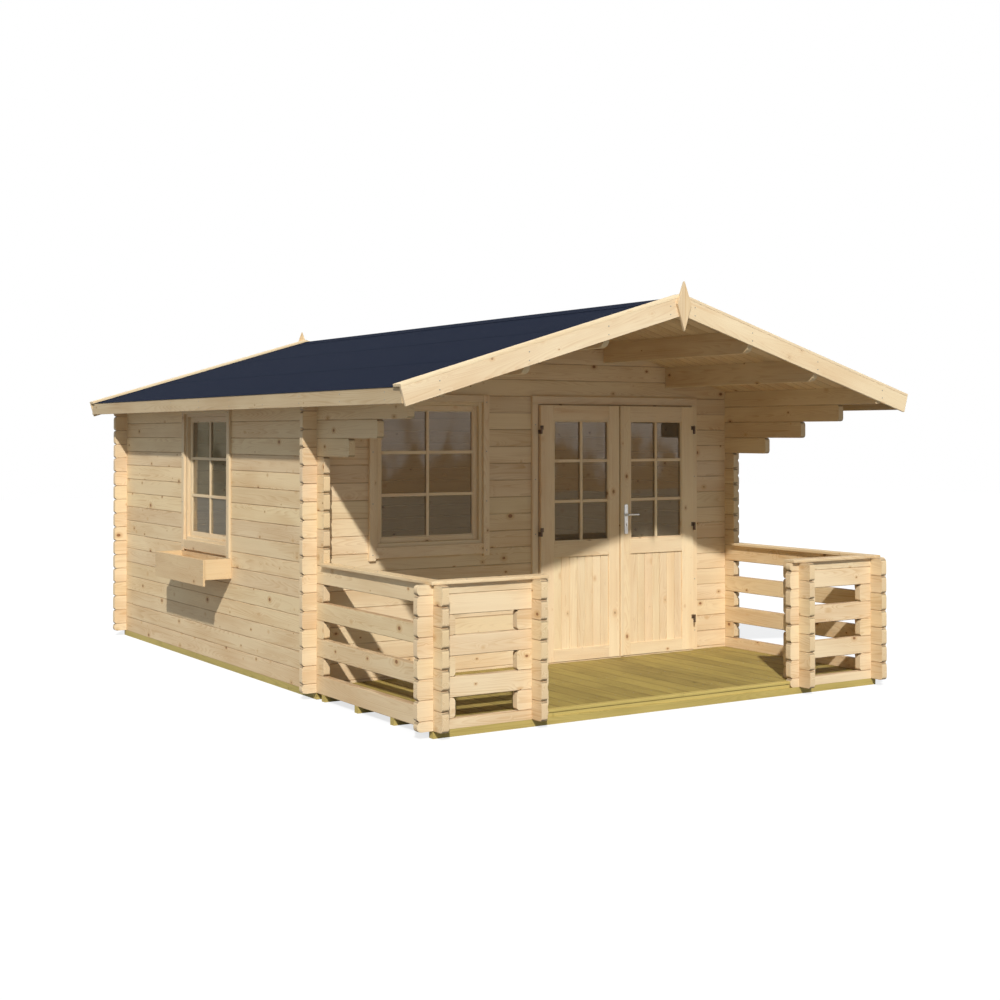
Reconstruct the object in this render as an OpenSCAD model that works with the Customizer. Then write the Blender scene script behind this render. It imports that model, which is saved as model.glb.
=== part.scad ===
// Log cabin of interlocking planed logs with a covered veranda, millimetres, +Z up.
// Origin: centre of the whole plan at ground level. The front faces -Y.

/* [Body] */
// Width over the outer faces of the side walls
body_w = 3600; // [3000:50:4800]
// Depth over the outer faces of the front and back walls
body_d = 3800; // [3000:50:5000]
// Number of logs in a side wall
wall_logs = 17; // [17:1:20]
// Thickness of a log
log_t = 45; // [34:1:70]
// Height of a log from seam to seam
log_h = 120; // [110:1:140]
// Length of a log past the wall that it crosses
stub_l = 105; // [80:5:160]
// Radius of the rounded corners of a log's end
end_r = 22; // [10:1:30]
// Depth of the V groove along each seam
seam_g = 4; // [2:0.5:6]
// Height of the beams under the logs
base_h = 45; // [35:5:95]

/* [Veranda] */
// Depth of the veranda from the front wall to the face of the front rail
veranda_d = 1515; // [1200:5:1800]
// Number of logs in a rail's height
rail_logs = 7; // [5:2:7]
// Length of a front rail from the side wall's face to its end beside the entrance
front_rail_l = 808; // [700:2:1000]
// Length of a front rail past the entrance post
post_stub_l = 78; // [60:2:110]
// Width of a handrail board
handrail_w = 100; // [80:5:140]
// Thickness of a handrail board
handrail_t = 20; // [16:1:30]
// Width of a deck board
deck_board_w = 141; // [90:1:150]
// Thickness of a deck or floor board
floor_t = 28; // [20:1:34]
// Gap between deck boards
deck_gap = 5; // [4:1:8]
// Rise of the floor's underside above the beams
floor_rise = 17; // [5:1:40]
// Width of a joist
joist_w = 45; // [40:1:60]
// Number of joists under the deck
deck_joists = 3; // [2:1:5]
// Number of joists under the room's floor
room_joists = 6; // [4:1:9]
// Distance from the front wall to the joist beside it
joist_inset = 100; // [60:5:150]
// Gap between the deck and an entrance post
post_fit = 3; // [1:0.5:6]

/* [Roof] */
// Pitch of the roof in degrees
roof_pitch = 16.5; // [14:0.5:22]
// Overhang past the side walls
side_overhang = 260; // [240:5:320]
// Overhang past the front wall
front_overhang = 1590; // [1300:5:1900]
// Overhang past the back wall
back_overhang = 190; // [150:5:300]
// Thickness of a roof board
roof_board_t = 19; // [15:1:25]
// Width of a roof board
roof_board_w = 95; // [85:1:125]
// Thickness of the felt
felt_t = 3; // [2:0.5:5]
// Reach of the felt past the fascia
felt_lip = 4; // [2:1:10]
// Gap where the roof boards, felt and cap boards lie on what carries them
roof_fit = 0.05; // [0.05:0.05:0.5]
// Distance of the upper purlins from the ridge line
purlin_in = 590; // [500:10:650]
// Distance of the lower purlins from the ridge line
purlin_out = 1180; // [1100:10:1300]
// Depth of a purlin below the roof boards
purlin_d = 145; // [120:5:180]
// Radius of a purlin's lower end corner
purlin_r = 60; // [20:5:90]
// Step between the ends of the stepped logs under the eaves
corbel_step = 380; // [300:10:400]
// Reach of the lowest stepped log in front of the wall
corbel_first = 460; // [300:10:500]
// Number of stepped logs under each eave
corbel_logs = 4; // [3:1:4]
// Depth of a bargeboard
barge_d = 115; // [95:5:145]
// Thickness of a bargeboard or fascia
barge_t = 20; // [16:1:26]
// Width of the cap board on a bargeboard
cap_w = 90; // [60:5:120]
// Thickness of a cap board
cap_t = 18; // [14:1:24]
// Distance of the fascia's face behind the bargeboards' ends
fascia_back = 15; // [8:1:30]
// Depth of the fascia along an eave
fascia_d = 95; // [80:5:120]
// Thickness of a finial
finial_t = 18; // [16:1:26]
// Height of a finial above the ridge
finial_up = 78; // [50:2:120]
// Length of a finial below the ridge
finial_down = 242; // [200:2:300]
// Width of a finial
finial_w = 114; // [80:2:140]

/* [Door] */
// Distance of the doorway's middle to the right of the ridge line
door_x = 683; // [600:1:700]
// Width of one door leaf
leaf_w = 708; // [640:1:740]
// Height of the door leaves
leaf_h = 1863; // [1800:1:1870]
// Thickness of a door leaf
leaf_t = 40; // [36:1:50]
// Width of the stile on the hinge side
hinge_stile_w = 112; // [90:1:130]
// Width of the stile on the meeting side
meeting_stile_w = 96; // [80:1:110]
// Height of the glass in a leaf
leaf_glass_h = 885; // [700:5:950]
// Height of the rail above the glass
leaf_top_rail = 110; // [80:1:140]
// Height of the rail under the glass
leaf_lock_rail = 110; // [80:1:140]
// Height of the rail at the foot of a leaf
leaf_foot_rail = 90; // [60:1:140]
// Number of boards in a leaf's lower panel
panel_boards = 7; // [4:1:9]
// Width of the cover strip at the meeting stiles
strip_w = 30; // [20:1:34]
// Thickness of the cover strip
strip_t = 8; // [5:1:12]
// Gap around and between the leaves
leaf_gap = 8; // [7:0.5:12]
// Gap between a leaf's foot and the deck
foot_gap = 10; // [6:1:20]
// Gap between a leaf and the jamb that it closes on
jamb_gap = 5; // [5:0.5:8]
// Overlap of a leaf on the jamb
jamb_lap = 22; // [12:1:30]
// Thickness of the jambs and the head
jamb_t = 40; // [30:1:50]
// Height of the threshold above the deck
threshold_up = 25; // [20:1:35]
// Height of a hinge
hinge_l = 60; // [50:2:90]
// Outer radius of a hinge knuckle
knuckle_r = 8; // [7:0.5:10]
// Radius of a hinge pin
pin_r = 5; // [4:0.5:6]
// Clearance around a hinge pin
pin_fit = 0.05; // [0.02:0.01:0.1]
// Length of a hinge's plate on the leaf
hinge_plate_l = 24; // [18:1:40]
// Thickness of a hinge's plate on the leaf
hinge_plate_t = 3; // [2:0.5:4]
// Gap between a knuckle and the leaf's face
knuckle_gap = 2; // [1:0.5:4]
// Gap between the two halves of a hinge
hinge_play = 0.5; // [0.3:0.1:1]
// Heights of the hinges above the leaf's foot
hinge_ups = [205, 915, 1655];
// Length of the lock plate
lock_plate_l = 220; // [180:5:260]
// Width of the lock plate
lock_plate_w = 32; // [26:1:40]
// Thickness of the lock plate
lock_plate_t = 6; // [3:1:8]
// Reach of the lever from the leaf
lever_out = 52; // [44:1:60]
// Radius of the lever's bar
lever_r = 8; // [6:0.5:9]
// Radius of the lever's collar
collar_r = 11; // [10:0.5:14]
// Gap around the collar and between the collar and the leaf
collar_fit = 0.5; // [0.3:0.1:1]
// Height of the lever above the leaf's foot
lever_up = 1050; // [950:10:1150]
// Length of the lever
lever_l = 112; // [90:2:140]

/* [Windows] */
// Width of a window's glass
pane_w = 740; // [600:5:800]
// Height of a window's glass
pane_h = 873; // [700:1:900]
// Width of a sash bar at the edge
sash_w = 35; // [30:1:60]
// Thickness of a window's lining
lining_t = 30; // [20:1:40]
// Depth of a window's lining from the wall's face
lining_d = 70; // [60:1:90]
// Setback of the sash behind the wall's face
sash_back = 26; // [10:1:30]
// Width of a glazing bar
bar_w = 22; // [16:1:30]
// Thickness of a glazing bar
bar_t = 12; // [8:1:14]
// Thickness of the glass
glass_t = 4; // [3:0.5:6]
// Depth of the glass in its rebate
glass_lap = 8; // [5:1:12]
// Distance of the front window's middle to the left of the ridge line
window_x = 935; // [900:5:950]
// Distance of the side window's middle behind the front wall
window_y = 1920; // [1200:10:2000]
// Height of the front window's opening above the first log
front_sill = 935; // [900:1:940]
// Height of the side window's opening above the first log
side_sill = 870; // [800:1:900]

/* [Trim] */
// Width of a trim board
trim_w = 50; // [40:1:60]
// Thickness of a trim board
trim_t = 20; // [15:1:25]
// Overlap of the window trim on the lining
trim_lap = 5; // [3:1:10]
// Length of the window trim's legs below the opening
trim_leg = 85; // [60:5:100]
// Height of the window trim's lower board
trim_foot_h = 75; // [50:5:80]
// Length of the flower box
box_l = 985; // [700:5:1100]
// Projection of the flower box
box_p = 228; // [180:2:235]
// Height of the flower box's front board
box_front_h = 195; // [150:5:220]
// Height of the flower box's end boards
box_end_h = 149; // [120:1:180]
// Thickness of the flower box's boards
box_t = 18; // [15:1:24]
// Reach of the box's front board past each end board
box_over = 6; // [0:1:15]
// Gap between the trim's legs and the flower box
box_gap = 1; // [1:1:10]

/* [Hidden] */
$fn = 32;

half_w = body_w / 2;
reach_front = max(veranda_d + stub_l, front_overhang + finial_t);
reach_back = body_d + back_overhang + finial_t;
front_y = (reach_front - reach_back) / 2;
back_y = front_y + body_d;
rail_y = front_y - veranda_d;
z0 = base_h;
wall_top = z0 + wall_logs * log_h;
gable_z = z0 + (wall_logs - 1.5) * log_h;
rail_top = z0 + rail_logs * log_h;
deck_z = z0 + floor_rise + floor_t;
tan_p = tan(roof_pitch);
cos_p = cos(roof_pitch);
sin_p = sin(roof_pitch);
ridge_carry = wall_top + (half_w - log_t) * tan_p;
ridge_under = ridge_carry + roof_fit;
board_v = roof_board_t / cos_p;
felt_v = felt_t / cos_p;
roof_y0 = front_y - front_overhang + barge_t;
roof_y1 = back_y + back_overhang - barge_t;
eave_x = half_w + side_overhang;
barge_x = eave_x - cap_t * sin_p;
fascia_x = barge_x - fascia_back;
felt_ridge = ridge_under + board_v + roof_fit;
cap_ridge = felt_ridge + felt_v + roof_fit;
finial_z = cap_ridge + cap_t / cos_p;

leaf_y1 = front_y - jamb_gap;
leaf_y0 = leaf_y1 - leaf_t;
leaf_z0 = deck_z + foot_gap;
leaf_z1 = leaf_z0 + leaf_h;
leaves_half = leaf_w + leaf_gap / 2;
trim_half = leaves_half + leaf_gap;
jamb_half = leaves_half - jamb_lap;
door_half = jamb_half + jamb_t;
door_top = leaf_z1 - jamb_lap + jamb_t;
glass_z0 = leaf_z1 - leaf_top_rail - leaf_glass_h;
hinge_x = leaves_half + leaf_gap / 2;
hinge_y = leaf_y0 - knuckle_r - knuckle_gap;
hinge_zs = [for (up = hinge_ups) leaf_z0 + up];
lever_z = leaf_z0 + lever_up;
lever_x = door_x + leaf_gap / 2 + meeting_stile_w * 0.55;

open_w = pane_w + 2 * (sash_w + lining_t);
open_h = pane_h + 2 * (sash_w + lining_t);

// Height of the purlins, gables and walls that carry the roof boards.
function roof_under(x) = ridge_carry - abs(x) * tan_p;
function arc(cx, cz, r, a0, a1) = [
    for (i = [0:3]) let (a = a0 + (a1 - a0) * i / 3) [cx + r * cos(a), cz + r * sin(a)]
];
function end_pts(x, za, zb, r) = r == 0 ? [[x, za], [x, zb]]
    : concat(arc(x - r, za + r, r, -90, 0), arc(x - r, zb - r, r, 0, 90));
function start_pts(x, za, zb, r) = [for (p = end_pts(-x, za, zb, r)) [-p[0], p[1]]];
function rev(v) = [for (i = [len(v) - 1:-1:0]) v[i]];
// A row is [z low, z high, start, start radius, end, end radius].
function rows_outline(rows) = concat(
    [for (q = rows) each end_pts(q[4], q[0], q[1], q[5])],
    rev([for (q = rows) each start_pts(q[2], q[0], q[1], q[3])])
);
// Seams of the logs that run along Y lie at whole log heights, those along X half a log lower.
function side_seams(n) = [for (k = [1:n - 1]) z0 + k * log_h];
function front_seams(n) = [for (k = [0:n - 1]) z0 + (k + 0.5) * log_h];
function face_grooves(y, into, seams) = [
    for (z = seams) each [[y, z - seam_g], [y + into, z], [y, z + seam_g]]
];
function log_profile(zb, z_in, z_out, seams) = concat(
    [[0, zb], [log_t, zb]], face_grooves(log_t, -seam_g, seams), [[log_t, z_out], [0, z_in]],
    rev(face_grooves(0, seam_g, seams))
);

// A wall or rail in its own frame: length along X, inner face at Y 0, outer face at Y log_t.
module log_stack(outline, profile, x0, x1) {
    intersection() {
        translate([0, log_t, 0]) rotate([90, 0, 0]) linear_extrude(log_t) polygon(outline);
        translate([x0 - 1, 0, 0]) rotate([90, 0, 90]) linear_extrude(x1 - x0 + 2) polygon(profile);
    }
}

// Half-lap notches for the logs of a crossing wall, one at each height in zs.
module notches(x, zs) {
    for (z = zs)
        translate([x, -1, z - log_h / 4]) cube([log_t, log_t + 2, log_h / 2]);
}

module along_y(x) {
    translate([x, 0, 0]) rotate([0, 0, 90]) children();
}

module mirrored(sx) {
    if (sx > 0) children();
    else mirror([1, 0, 0]) children();
}

// ---------------------------------------------------------------- floor
module beam(x0, x1, y0, y1, za, zb) {
    translate([x0, y0, za]) cube([x1 - x0, y1 - y0, zb - za]);
}

// Beams along X: under the front rails, under the front and back walls, and the joists of deck and room.
module cross_beams() {
    color("#968a47") {
        for (y = [rail_y, front_y, back_y - log_t])
            beam(-half_w, half_w, y, y + log_t, 0, base_h);
        deck_pitch = (veranda_d - log_t / 2 - joist_inset) / deck_joists;
        for (i = [0:deck_joists - 1]) {
            y = front_y - joist_inset - i * deck_pitch - joist_w / 2;
            beam(-half_w, half_w, y, y + joist_w, 0, base_h);
            beam(log_t - half_w, half_w - log_t, y, y + joist_w, base_h, base_h + floor_rise);
        }
        room_pitch = (body_d - lining_d - log_t - joist_w) / room_joists;
        for (i = [0:room_joists - 1]) {
            y = front_y + lining_d + i * room_pitch;
            beam(log_t - half_w, half_w - log_t, y, y + joist_w, 0, base_h + floor_rise);
        }
    }
}

module side_beams() {
    color("#9a8c48") for (s = [1, -1])
        mirrored(s) beam(half_w - log_t, half_w, front_y + log_t, back_y - log_t, 0, base_h);
}

module room_floor() {
    color("#c9a978")
        beam(log_t - half_w, half_w - log_t, front_y + lining_d, back_y - log_t, deck_z - floor_t, deck_z);
}

module veranda_deck() {
    color("#a8944e") {
        inner = body_w - 2 * log_t - 2 * deck_gap;
        count = floor((inner + deck_gap) / (deck_board_w + deck_gap));
        pitch = (inner + deck_gap) / count;
        difference() {
            for (i = [0:count - 1]) {
                x = log_t - half_w + deck_gap + i * pitch;
                beam(x, x + pitch - deck_gap, rail_y + log_t, front_y - deck_gap / 2,
                    deck_z - floor_t, deck_z);
            }
            for (s = [-1, 1]) {
                x = s * (half_w - front_rail_l + post_stub_l + log_t / 2);
                beam(x - log_t / 2 - post_fit, x + log_t / 2 + post_fit,
                    rail_y, rail_y + log_t + stub_l + post_fit, 0, deck_z + 1);
            }
        }
    }
}

module deck_edge_board() {
    x1 = half_w - front_rail_l - 2;
    color("#b7a55c") beam(-x1, x1, rail_y, rail_y + log_t - 1, base_h, deck_z);
}

// ---------------------------------------------------------------- walls
function corbel_end(k) = corbel_first + corbel_step * (k - wall_logs + corbel_logs);
function side_front(k) = k < wall_logs - corbel_logs ? stub_l
    : min(corbel_end(k), front_overhang - barge_t);
function side_radius(k) = k < rail_logs && k % 2 == 0 ? 0
    : k == wall_logs - 1 ? 0
    : end_r;

module side_wall() {
    rows = [for (k = [0:wall_logs - 1]) [
        z0 + k * log_h, z0 + (k + 1) * log_h,
        front_y - side_front(k), side_radius(k), back_y + stub_l, end_r
    ]];
    profile = log_profile(z0, wall_top, wall_top - log_t * tan_p, side_seams(wall_logs));
    along_y(log_t - half_w) difference() {
        log_stack(rows_outline(rows), profile, front_y - front_overhang, back_y + stub_l);
        for (y = [front_y, back_y - log_t])
            notches(y, [for (k = [0:wall_logs]) z0 + k * log_h]);
    }
}

module left_wall() {
    color("#d8b888") difference() {
        side_wall();
        translate([-half_w - 1, front_y + window_y - open_w / 2, z0 + side_sill])
            cube([log_t + 2, open_w, open_h]);
    }
}

module right_wall() {
    color("#d8b888") mirrored(-1) side_wall();
}

// Rows of a front or back wall between x0 and x1, below the gable.
function front_rows(x0, r0, x1, r1) = concat(
    [[z0, z0 + log_h / 2, x0, min(r0, log_h / 5), x1, min(r1, log_h / 5)]],
    [for (j = [1:wall_logs - 2]) [z0 + (j - 0.5) * log_h, z0 + (j + 0.5) * log_h, x0, r0, x1, r1]]
);

module front_logs(x0, r0, x1, r1) {
    profile = log_profile(z0, gable_z, gable_z, front_seams(wall_logs - 2));
    difference() {
        log_stack(rows_outline(front_rows(x0, r0, x1, r1)), profile, x0, x1);
        for (x = [-half_w, half_w - log_t])
            notches(x, [for (k = [0:wall_logs - 2]) z0 + (k + 0.5) * log_h]);
    }
}

// The gable starts with one full log that crosses the side walls.
module gable_logs() {
    log_top = gable_z + log_h;
    right = concat(
        end_pts(half_w + stub_l, gable_z, log_top, end_r),
        [[half_w, log_top], [half_w, roof_under(half_w)]],
        [for (x = [purlin_out, purlin_in]) each [
            [x + log_t / 2, roof_under(x + log_t / 2)], [x + log_t / 2, roof_under(x) - purlin_d],
            [x - log_t / 2, roof_under(x) - purlin_d], [x - log_t / 2, roof_under(x - log_t / 2)]
        ]]
    );
    outline = concat(right, [[0, ridge_carry]], rev([for (p = right) [-p[0], p[1]]]));
    count = ceil((ridge_carry - gable_z) / log_h);
    seams = [for (k = [1:count - 1]) gable_z + k * log_h];
    profile = log_profile(gable_z, ridge_carry + 1, ridge_carry + 1, seams);
    difference() {
        log_stack(outline, profile, -half_w - stub_l, half_w + stub_l);
        for (x = [-half_w, half_w - log_t])
            notches(x, [gable_z, gable_z + log_h]);
    }
}

// Puts a front wall's own frame on the front (its outer face towards -Y).
module on_front() {
    translate([0, front_y + log_t, 0]) mirror([0, 1, 0]) children();
}

module on_back() {
    translate([0, back_y - log_t, 0]) children();
}

module window_hole(x, sill) {
    translate([x - open_w / 2, front_y - 1, z0 + sill]) cube([open_w, log_t + 2, open_h]);
}

module door_hole() {
    translate([door_x - door_half, front_y - 1, z0 - 1]) cube([2 * door_half, log_t + 2, door_top - z0 + 1]);
}

module front_wall_left() {
    color("#e0bf8c") difference() {
        on_front() front_logs(-half_w - stub_l, end_r, door_x - door_half, 0);
        window_hole(-window_x, front_sill);
    }
}

module front_wall_right() {
    color("#e0bf8c") on_front() front_logs(door_x + door_half, 0, half_w + stub_l, end_r);
}

module front_gable() {
    color("#cfae7c") difference() {
        on_front() gable_logs();
        window_hole(-window_x, front_sill);
        door_hole();
    }
}

module back_wall() {
    color("#d2b180") on_back() front_logs(-half_w - stub_l, end_r, half_w + stub_l, end_r);
}

module back_gable() {
    color("#cfae7c") on_back() gable_logs();
}

// ---------------------------------------------------------------- rails
function rail_side_seams() = [for (k = [1:rail_logs - 1]) z0 + k * log_h];
function rail_front_seams() = [for (k = [0:rail_logs - 1]) z0 + (k + 0.5) * log_h];

module side_rail() {
    y0 = rail_y - stub_l;
    rows = [for (k = [0:rail_logs - 1]) [
        z0 + k * log_h, z0 + (k + 1) * log_h, y0, end_r,
        k % 2 == 0 ? front_y - stub_l : rail_y + log_t + stub_l, k % 2 == 0 ? 0 : end_r
    ]];
    profile = log_profile(z0, rail_top, rail_top, rail_side_seams());
    along_y(log_t - half_w) difference() {
        log_stack(rows_outline(rows), profile, y0, front_y);
        notches(rail_y, [for (k = [0:rail_logs]) z0 + k * log_h]);
    }
}

module front_rail() {
    x0 = -half_w - stub_l;
    x1 = front_rail_l - half_w;
    post_x = x1 - post_stub_l - log_t;
    half_r = log_h / 5;
    rows = concat(
        [[z0, z0 + log_h / 2, x0, half_r, x1, half_r]],
        [for (j = [1:rail_logs - 1]) [z0 + (j - 0.5) * log_h, z0 + (j + 0.5) * log_h, x0, end_r, x1, end_r]],
        [[rail_top - log_h / 2, rail_top, x0, half_r, x1, half_r]]
    );
    profile = log_profile(z0, rail_top, rail_top, rail_front_seams());
    on_rail() difference() {
        log_stack(rows_outline(rows), profile, x0, x1);
        for (x = [-half_w, post_x])
            notches(x, [for (k = [0:rail_logs - 1]) z0 + (k + 0.5) * log_h]);
        for (j = [1:2:rail_logs - 1])
            translate([0, log_t + 1, 0]) rotate([90, 0, 0]) linear_extrude(log_t + 2) polygon(
                concat(
                    end_pts(log_t - half_w + stub_l, z0 + (j - 0.5) * log_h, z0 + (j + 0.5) * log_h, end_r),
                    rev(start_pts(post_x - stub_l, z0 + (j - 0.5) * log_h, z0 + (j + 0.5) * log_h, end_r))
                )
            );
    }
}

module on_rail() {
    translate([0, rail_y + log_t, 0]) mirror([0, 1, 0]) children();
}

module left_side_rail() {
    color("#d8b888") side_rail();
}

module right_side_rail() {
    color("#d8b888") mirrored(-1) side_rail();
}

module left_front_rail() {
    color("#e6c690") front_rail();
}

module right_front_rail() {
    color("#e6c690") mirrored(-1) front_rail();
}

module entrance_posts() {
    x = front_rail_l - half_w - post_stub_l;
    rows = [for (k = [0:rail_logs - 1]) [
        z0 + k * log_h, z0 + (k + 1) * log_h, rail_y - stub_l, end_r, rail_y + log_t + stub_l, end_r
    ]];
    profile = log_profile(z0, rail_top, rail_top, rail_side_seams());
    color("#dcbc88") for (s = [1, -1])
        mirrored(s) along_y(x) difference() {
            log_stack(rows_outline(rows), profile, rail_y - stub_l, front_y);
            notches(rail_y, [for (k = [0:rail_logs]) z0 + k * log_h]);
        }
}

// An L-shaped board along the side rail and the front rail.
module handrail() {
    xo = -half_w + log_t / 2 - handrail_w / 2;
    yo = rail_y + log_t / 2 - handrail_w / 2;
    x1 = front_rail_l - half_w - log_t / 4;
    y1 = front_y - stub_l;
    translate([0, 0, rail_top]) linear_extrude(handrail_t) polygon([
        [xo, yo], [x1, yo], [x1, yo + handrail_w], [xo + handrail_w, yo + handrail_w],
        [xo + handrail_w, y1], [xo, y1]
    ]);
}

module left_handrail() {
    color("#dfc08c") handrail();
}

module right_handrail() {
    color("#dfc08c") mirrored(-1) handrail();
}

// ---------------------------------------------------------------- roof
module purlin(x) {
    zb = roof_under(x) - purlin_d;
    zt = ridge_under;
    intersection() {
        translate([0, roof_y1, 0]) rotate([90, 0, 0]) linear_extrude(roof_y1 - roof_y0) polygon([
            [x - log_t / 2, zb], [x + log_t / 2, zb],
            [x + log_t / 2, roof_under(x + log_t / 2)], [x - log_t / 2, roof_under(x - log_t / 2)]
        ]);
        translate([x - log_t, 0, 0]) rotate([90, 0, 90]) linear_extrude(2 * log_t) polygon(concat(
            arc(roof_y1 - purlin_r, zb + purlin_r, purlin_r, -90, 0), [[roof_y1, zt], [roof_y0, zt]],
            arc(roof_y0 + purlin_r, zb + purlin_r, purlin_r, 180, 270)
        ));
    }
}

module purlins(s) {
    color("#b08f62") for (x = [purlin_in, purlin_out]) mirrored(s) purlin(x);
}

module left_purlins() {
    purlins(-1);
}

module right_purlins() {
    purlins(1);
}

// Tongued boards that run down the slope, with a V groove under each joint.
module roof_boards(s) {
    y0 = roof_y0 + roof_fit;
    y1 = roof_y1 - roof_fit;
    count = round((y1 - y0) / roof_board_w);
    pitch = (y1 - y0) / count;
    v = seam_g * 0.75;
    run = (fascia_x - barge_t) / cos_p;
    outline = concat(
        [[y0, 0]],
        [for (i = [1:count - 1]) each [
            [y0 + i * pitch - v, 0], [y0 + i * pitch, v], [y0 + i * pitch + v, 0]
        ]],
        [[y1, 0], [y1, roof_board_t], [y0, roof_board_t]]
    );
    color("#b4946a") mirrored(s) intersection() {
        translate([0, 0, ridge_under]) rotate([0, roof_pitch, 0]) translate([-roof_board_t, 0, 0])
            rotate([90, 0, 90]) linear_extrude(run + 2 * roof_board_t) polygon(outline);
        beam(0, fascia_x - barge_t - roof_fit, roof_y0 - 1, roof_y1 + 1, z0, finial_z);
    }
}

module left_roof_boards() {
    roof_boards(-1);
}

module right_roof_boards() {
    roof_boards(1);
}

// A flat band that follows one slope, from x0 to x1, z measured at the ridge line.
module slope_band(x0, x1, za, zb, y0, y1) {
    translate([0, y1, 0]) rotate([90, 0, 0]) linear_extrude(y1 - y0) polygon([
        [x0, za - x0 * tan_p], [x1, za - x1 * tan_p], [x1, zb - x1 * tan_p], [x0, zb - x0 * tan_p]
    ]);
}

module roof_felt(s) {
    color("#2a3140") mirrored(s)
        slope_band(0, fascia_x + felt_lip, felt_ridge, felt_ridge + felt_v,
            roof_y0 + roof_fit, roof_y1 - roof_fit);
}

module left_roof_felt() {
    roof_felt(-1);
}

module right_roof_felt() {
    roof_felt(1);
}

module eave_fascias() {
    x0 = fascia_x - barge_t;
    z = ridge_under + board_v;
    low = z - fascia_x * tan_p - fascia_d;
    color("#dcbf88") for (s = [1, -1])
        mirrored(s) translate([0, roof_y1, 0]) rotate([90, 0, 0]) linear_extrude(roof_y1 - roof_y0) polygon([
            [x0, low], [fascia_x, low], [fascia_x, z - fascia_x * tan_p], [x0, z - x0 * tan_p]
        ]);
}

// A pair of boards under the ridge point [0, z], d deep, with ends square to the slope at x1.
module chevron(z, x1, d, t) {
    right = [[x1, z - x1 * tan_p], [x1 - d * sin_p, z - x1 * tan_p - d * cos_p]];
    translate([0, t, 0]) rotate([90, 0, 0]) linear_extrude(t) polygon(concat(
        [[0, z]], right, [[0, z - d / cos_p]], rev([for (p = right) [-p[0], p[1]]])
    ));
}

module bargeboards() {
    chevron(cap_ridge, barge_x, barge_d, barge_t);
    chevron(finial_z, eave_x, cap_t, cap_w);
}

module front_bargeboards() {
    color("#f0d29c") translate([0, roof_y0 - barge_t, 0]) bargeboards();
}

module back_bargeboards() {
    color("#f0d29c") translate([0, roof_y1 + barge_t, 0]) mirror([0, 1, 0]) bargeboards();
}

module finials() {
    wide_z = finial_z - finial_up * 0.9;
    kite = [
        [0, finial_z + finial_up], [finial_w / 2, wide_z],
        [0, finial_z - finial_down], [-finial_w / 2, wide_z]
    ];
    color("#e8c48e") for (y = [roof_y0 - barge_t, roof_y1 + barge_t + finial_t])
        translate([0, y, 0]) rotate([90, 0, 0]) linear_extrude(finial_t) polygon(kite);
}

// ---------------------------------------------------------------- door
module door_frame() {
    color("#c9a877") difference() {
        beam(door_x - door_half, door_x + door_half, front_y, front_y + lining_d, z0, door_top);
        beam(door_x - jamb_half, door_x + jamb_half, front_y - 1, front_y + lining_d + 1,
            deck_z + threshold_up, leaf_z1 - jamb_lap);
    }
}

module door_trim() {
    top = leaf_z1 + leaf_gap;
    outer = trim_half + trim_w;
    color("#c9a877") difference() {
        beam(door_x - outer, door_x + outer, front_y - trim_t, front_y, deck_z, top + trim_w + leaf_gap);
        beam(door_x - trim_half, door_x + trim_half, front_y - trim_t - 1, front_y + 1, deck_z - 1, top);
    }
}

// A vertical V groove in a leaf's faces, or a level one with length along X.
module leaf_groove(x0, x1, za, zb) {
    g = seam_g * 0.75;
    for (y = [leaf_y0, leaf_y1])
        if (x0 == x1)
            translate([x0, y, za]) linear_extrude(zb - za) polygon([[-g, 0], [0, g], [g, 0], [0, -g]]);
        else
            translate([x0, y, za]) rotate([90, 0, 90]) linear_extrude(x1 - x0)
                polygon([[-g, 0], [0, g], [g, 0], [0, -g]]);
}

// Glazing bars: a cross of one upright and two level bars over a pane of w by h.
module glazing_bars(w, h, t) {
    translate([w / 2 - bar_w / 2, 0, 0]) cube([bar_w, t, h]);
    for (k = [1, 2])
        translate([0, 0, k * h / 3 - bar_w / 2]) cube([w, t, bar_w]);
}

leaf_glass_w = leaf_w - hinge_stile_w - meeting_stile_w;
leaf_glass_y = (leaf_y0 + leaf_y1 - glass_t) / 2;

// The right leaf, drawn with the doorway's middle at X 0.
module door_leaf() {
    x0 = leaf_gap / 2;
    gx = x0 + meeting_stile_w;
    panel_z1 = glass_z0 - leaf_lock_rail;
    panel_z0 = leaf_z0 + leaf_foot_rail;
    difference() {
        beam(x0, x0 + leaf_w, leaf_y0, leaf_y1, leaf_z0, leaf_z1);
        beam(gx, gx + leaf_glass_w, leaf_y0 - 1, leaf_y1 + 1, glass_z0, glass_z0 + leaf_glass_h);
        beam(gx - glass_lap, gx + leaf_glass_w + glass_lap, leaf_glass_y, leaf_glass_y + glass_t,
            glass_z0 - glass_lap, glass_z0 + leaf_glass_h + glass_lap);
        for (i = [0:panel_boards]) {
            x = gx + i * leaf_glass_w / panel_boards;
            leaf_groove(x, x, panel_z0, panel_z1);
        }
        for (z = [panel_z0, panel_z1])
            leaf_groove(gx, gx + leaf_glass_w, z, z);
    }
    for (y = [leaf_y0 + 2, leaf_glass_y + glass_t])
        translate([gx, y, glass_z0]) glazing_bars(leaf_glass_w, leaf_glass_h, leaf_glass_y - leaf_y0 - 2);
}

module leaf_pane() {
    gx = leaf_gap / 2 + meeting_stile_w;
    beam(gx - glass_lap, gx + leaf_glass_w + glass_lap, leaf_glass_y, leaf_glass_y + glass_t,
        glass_z0 - glass_lap, glass_z0 + leaf_glass_h + glass_lap);
}

module left_door_leaf() {
    color("#d9b987") translate([door_x, 0, 0]) mirrored(-1) door_leaf();
}

module left_door_glass() {
    color("#8a8272", 0.5) translate([door_x, 0, 0]) mirrored(-1) leaf_pane();
}

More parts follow.
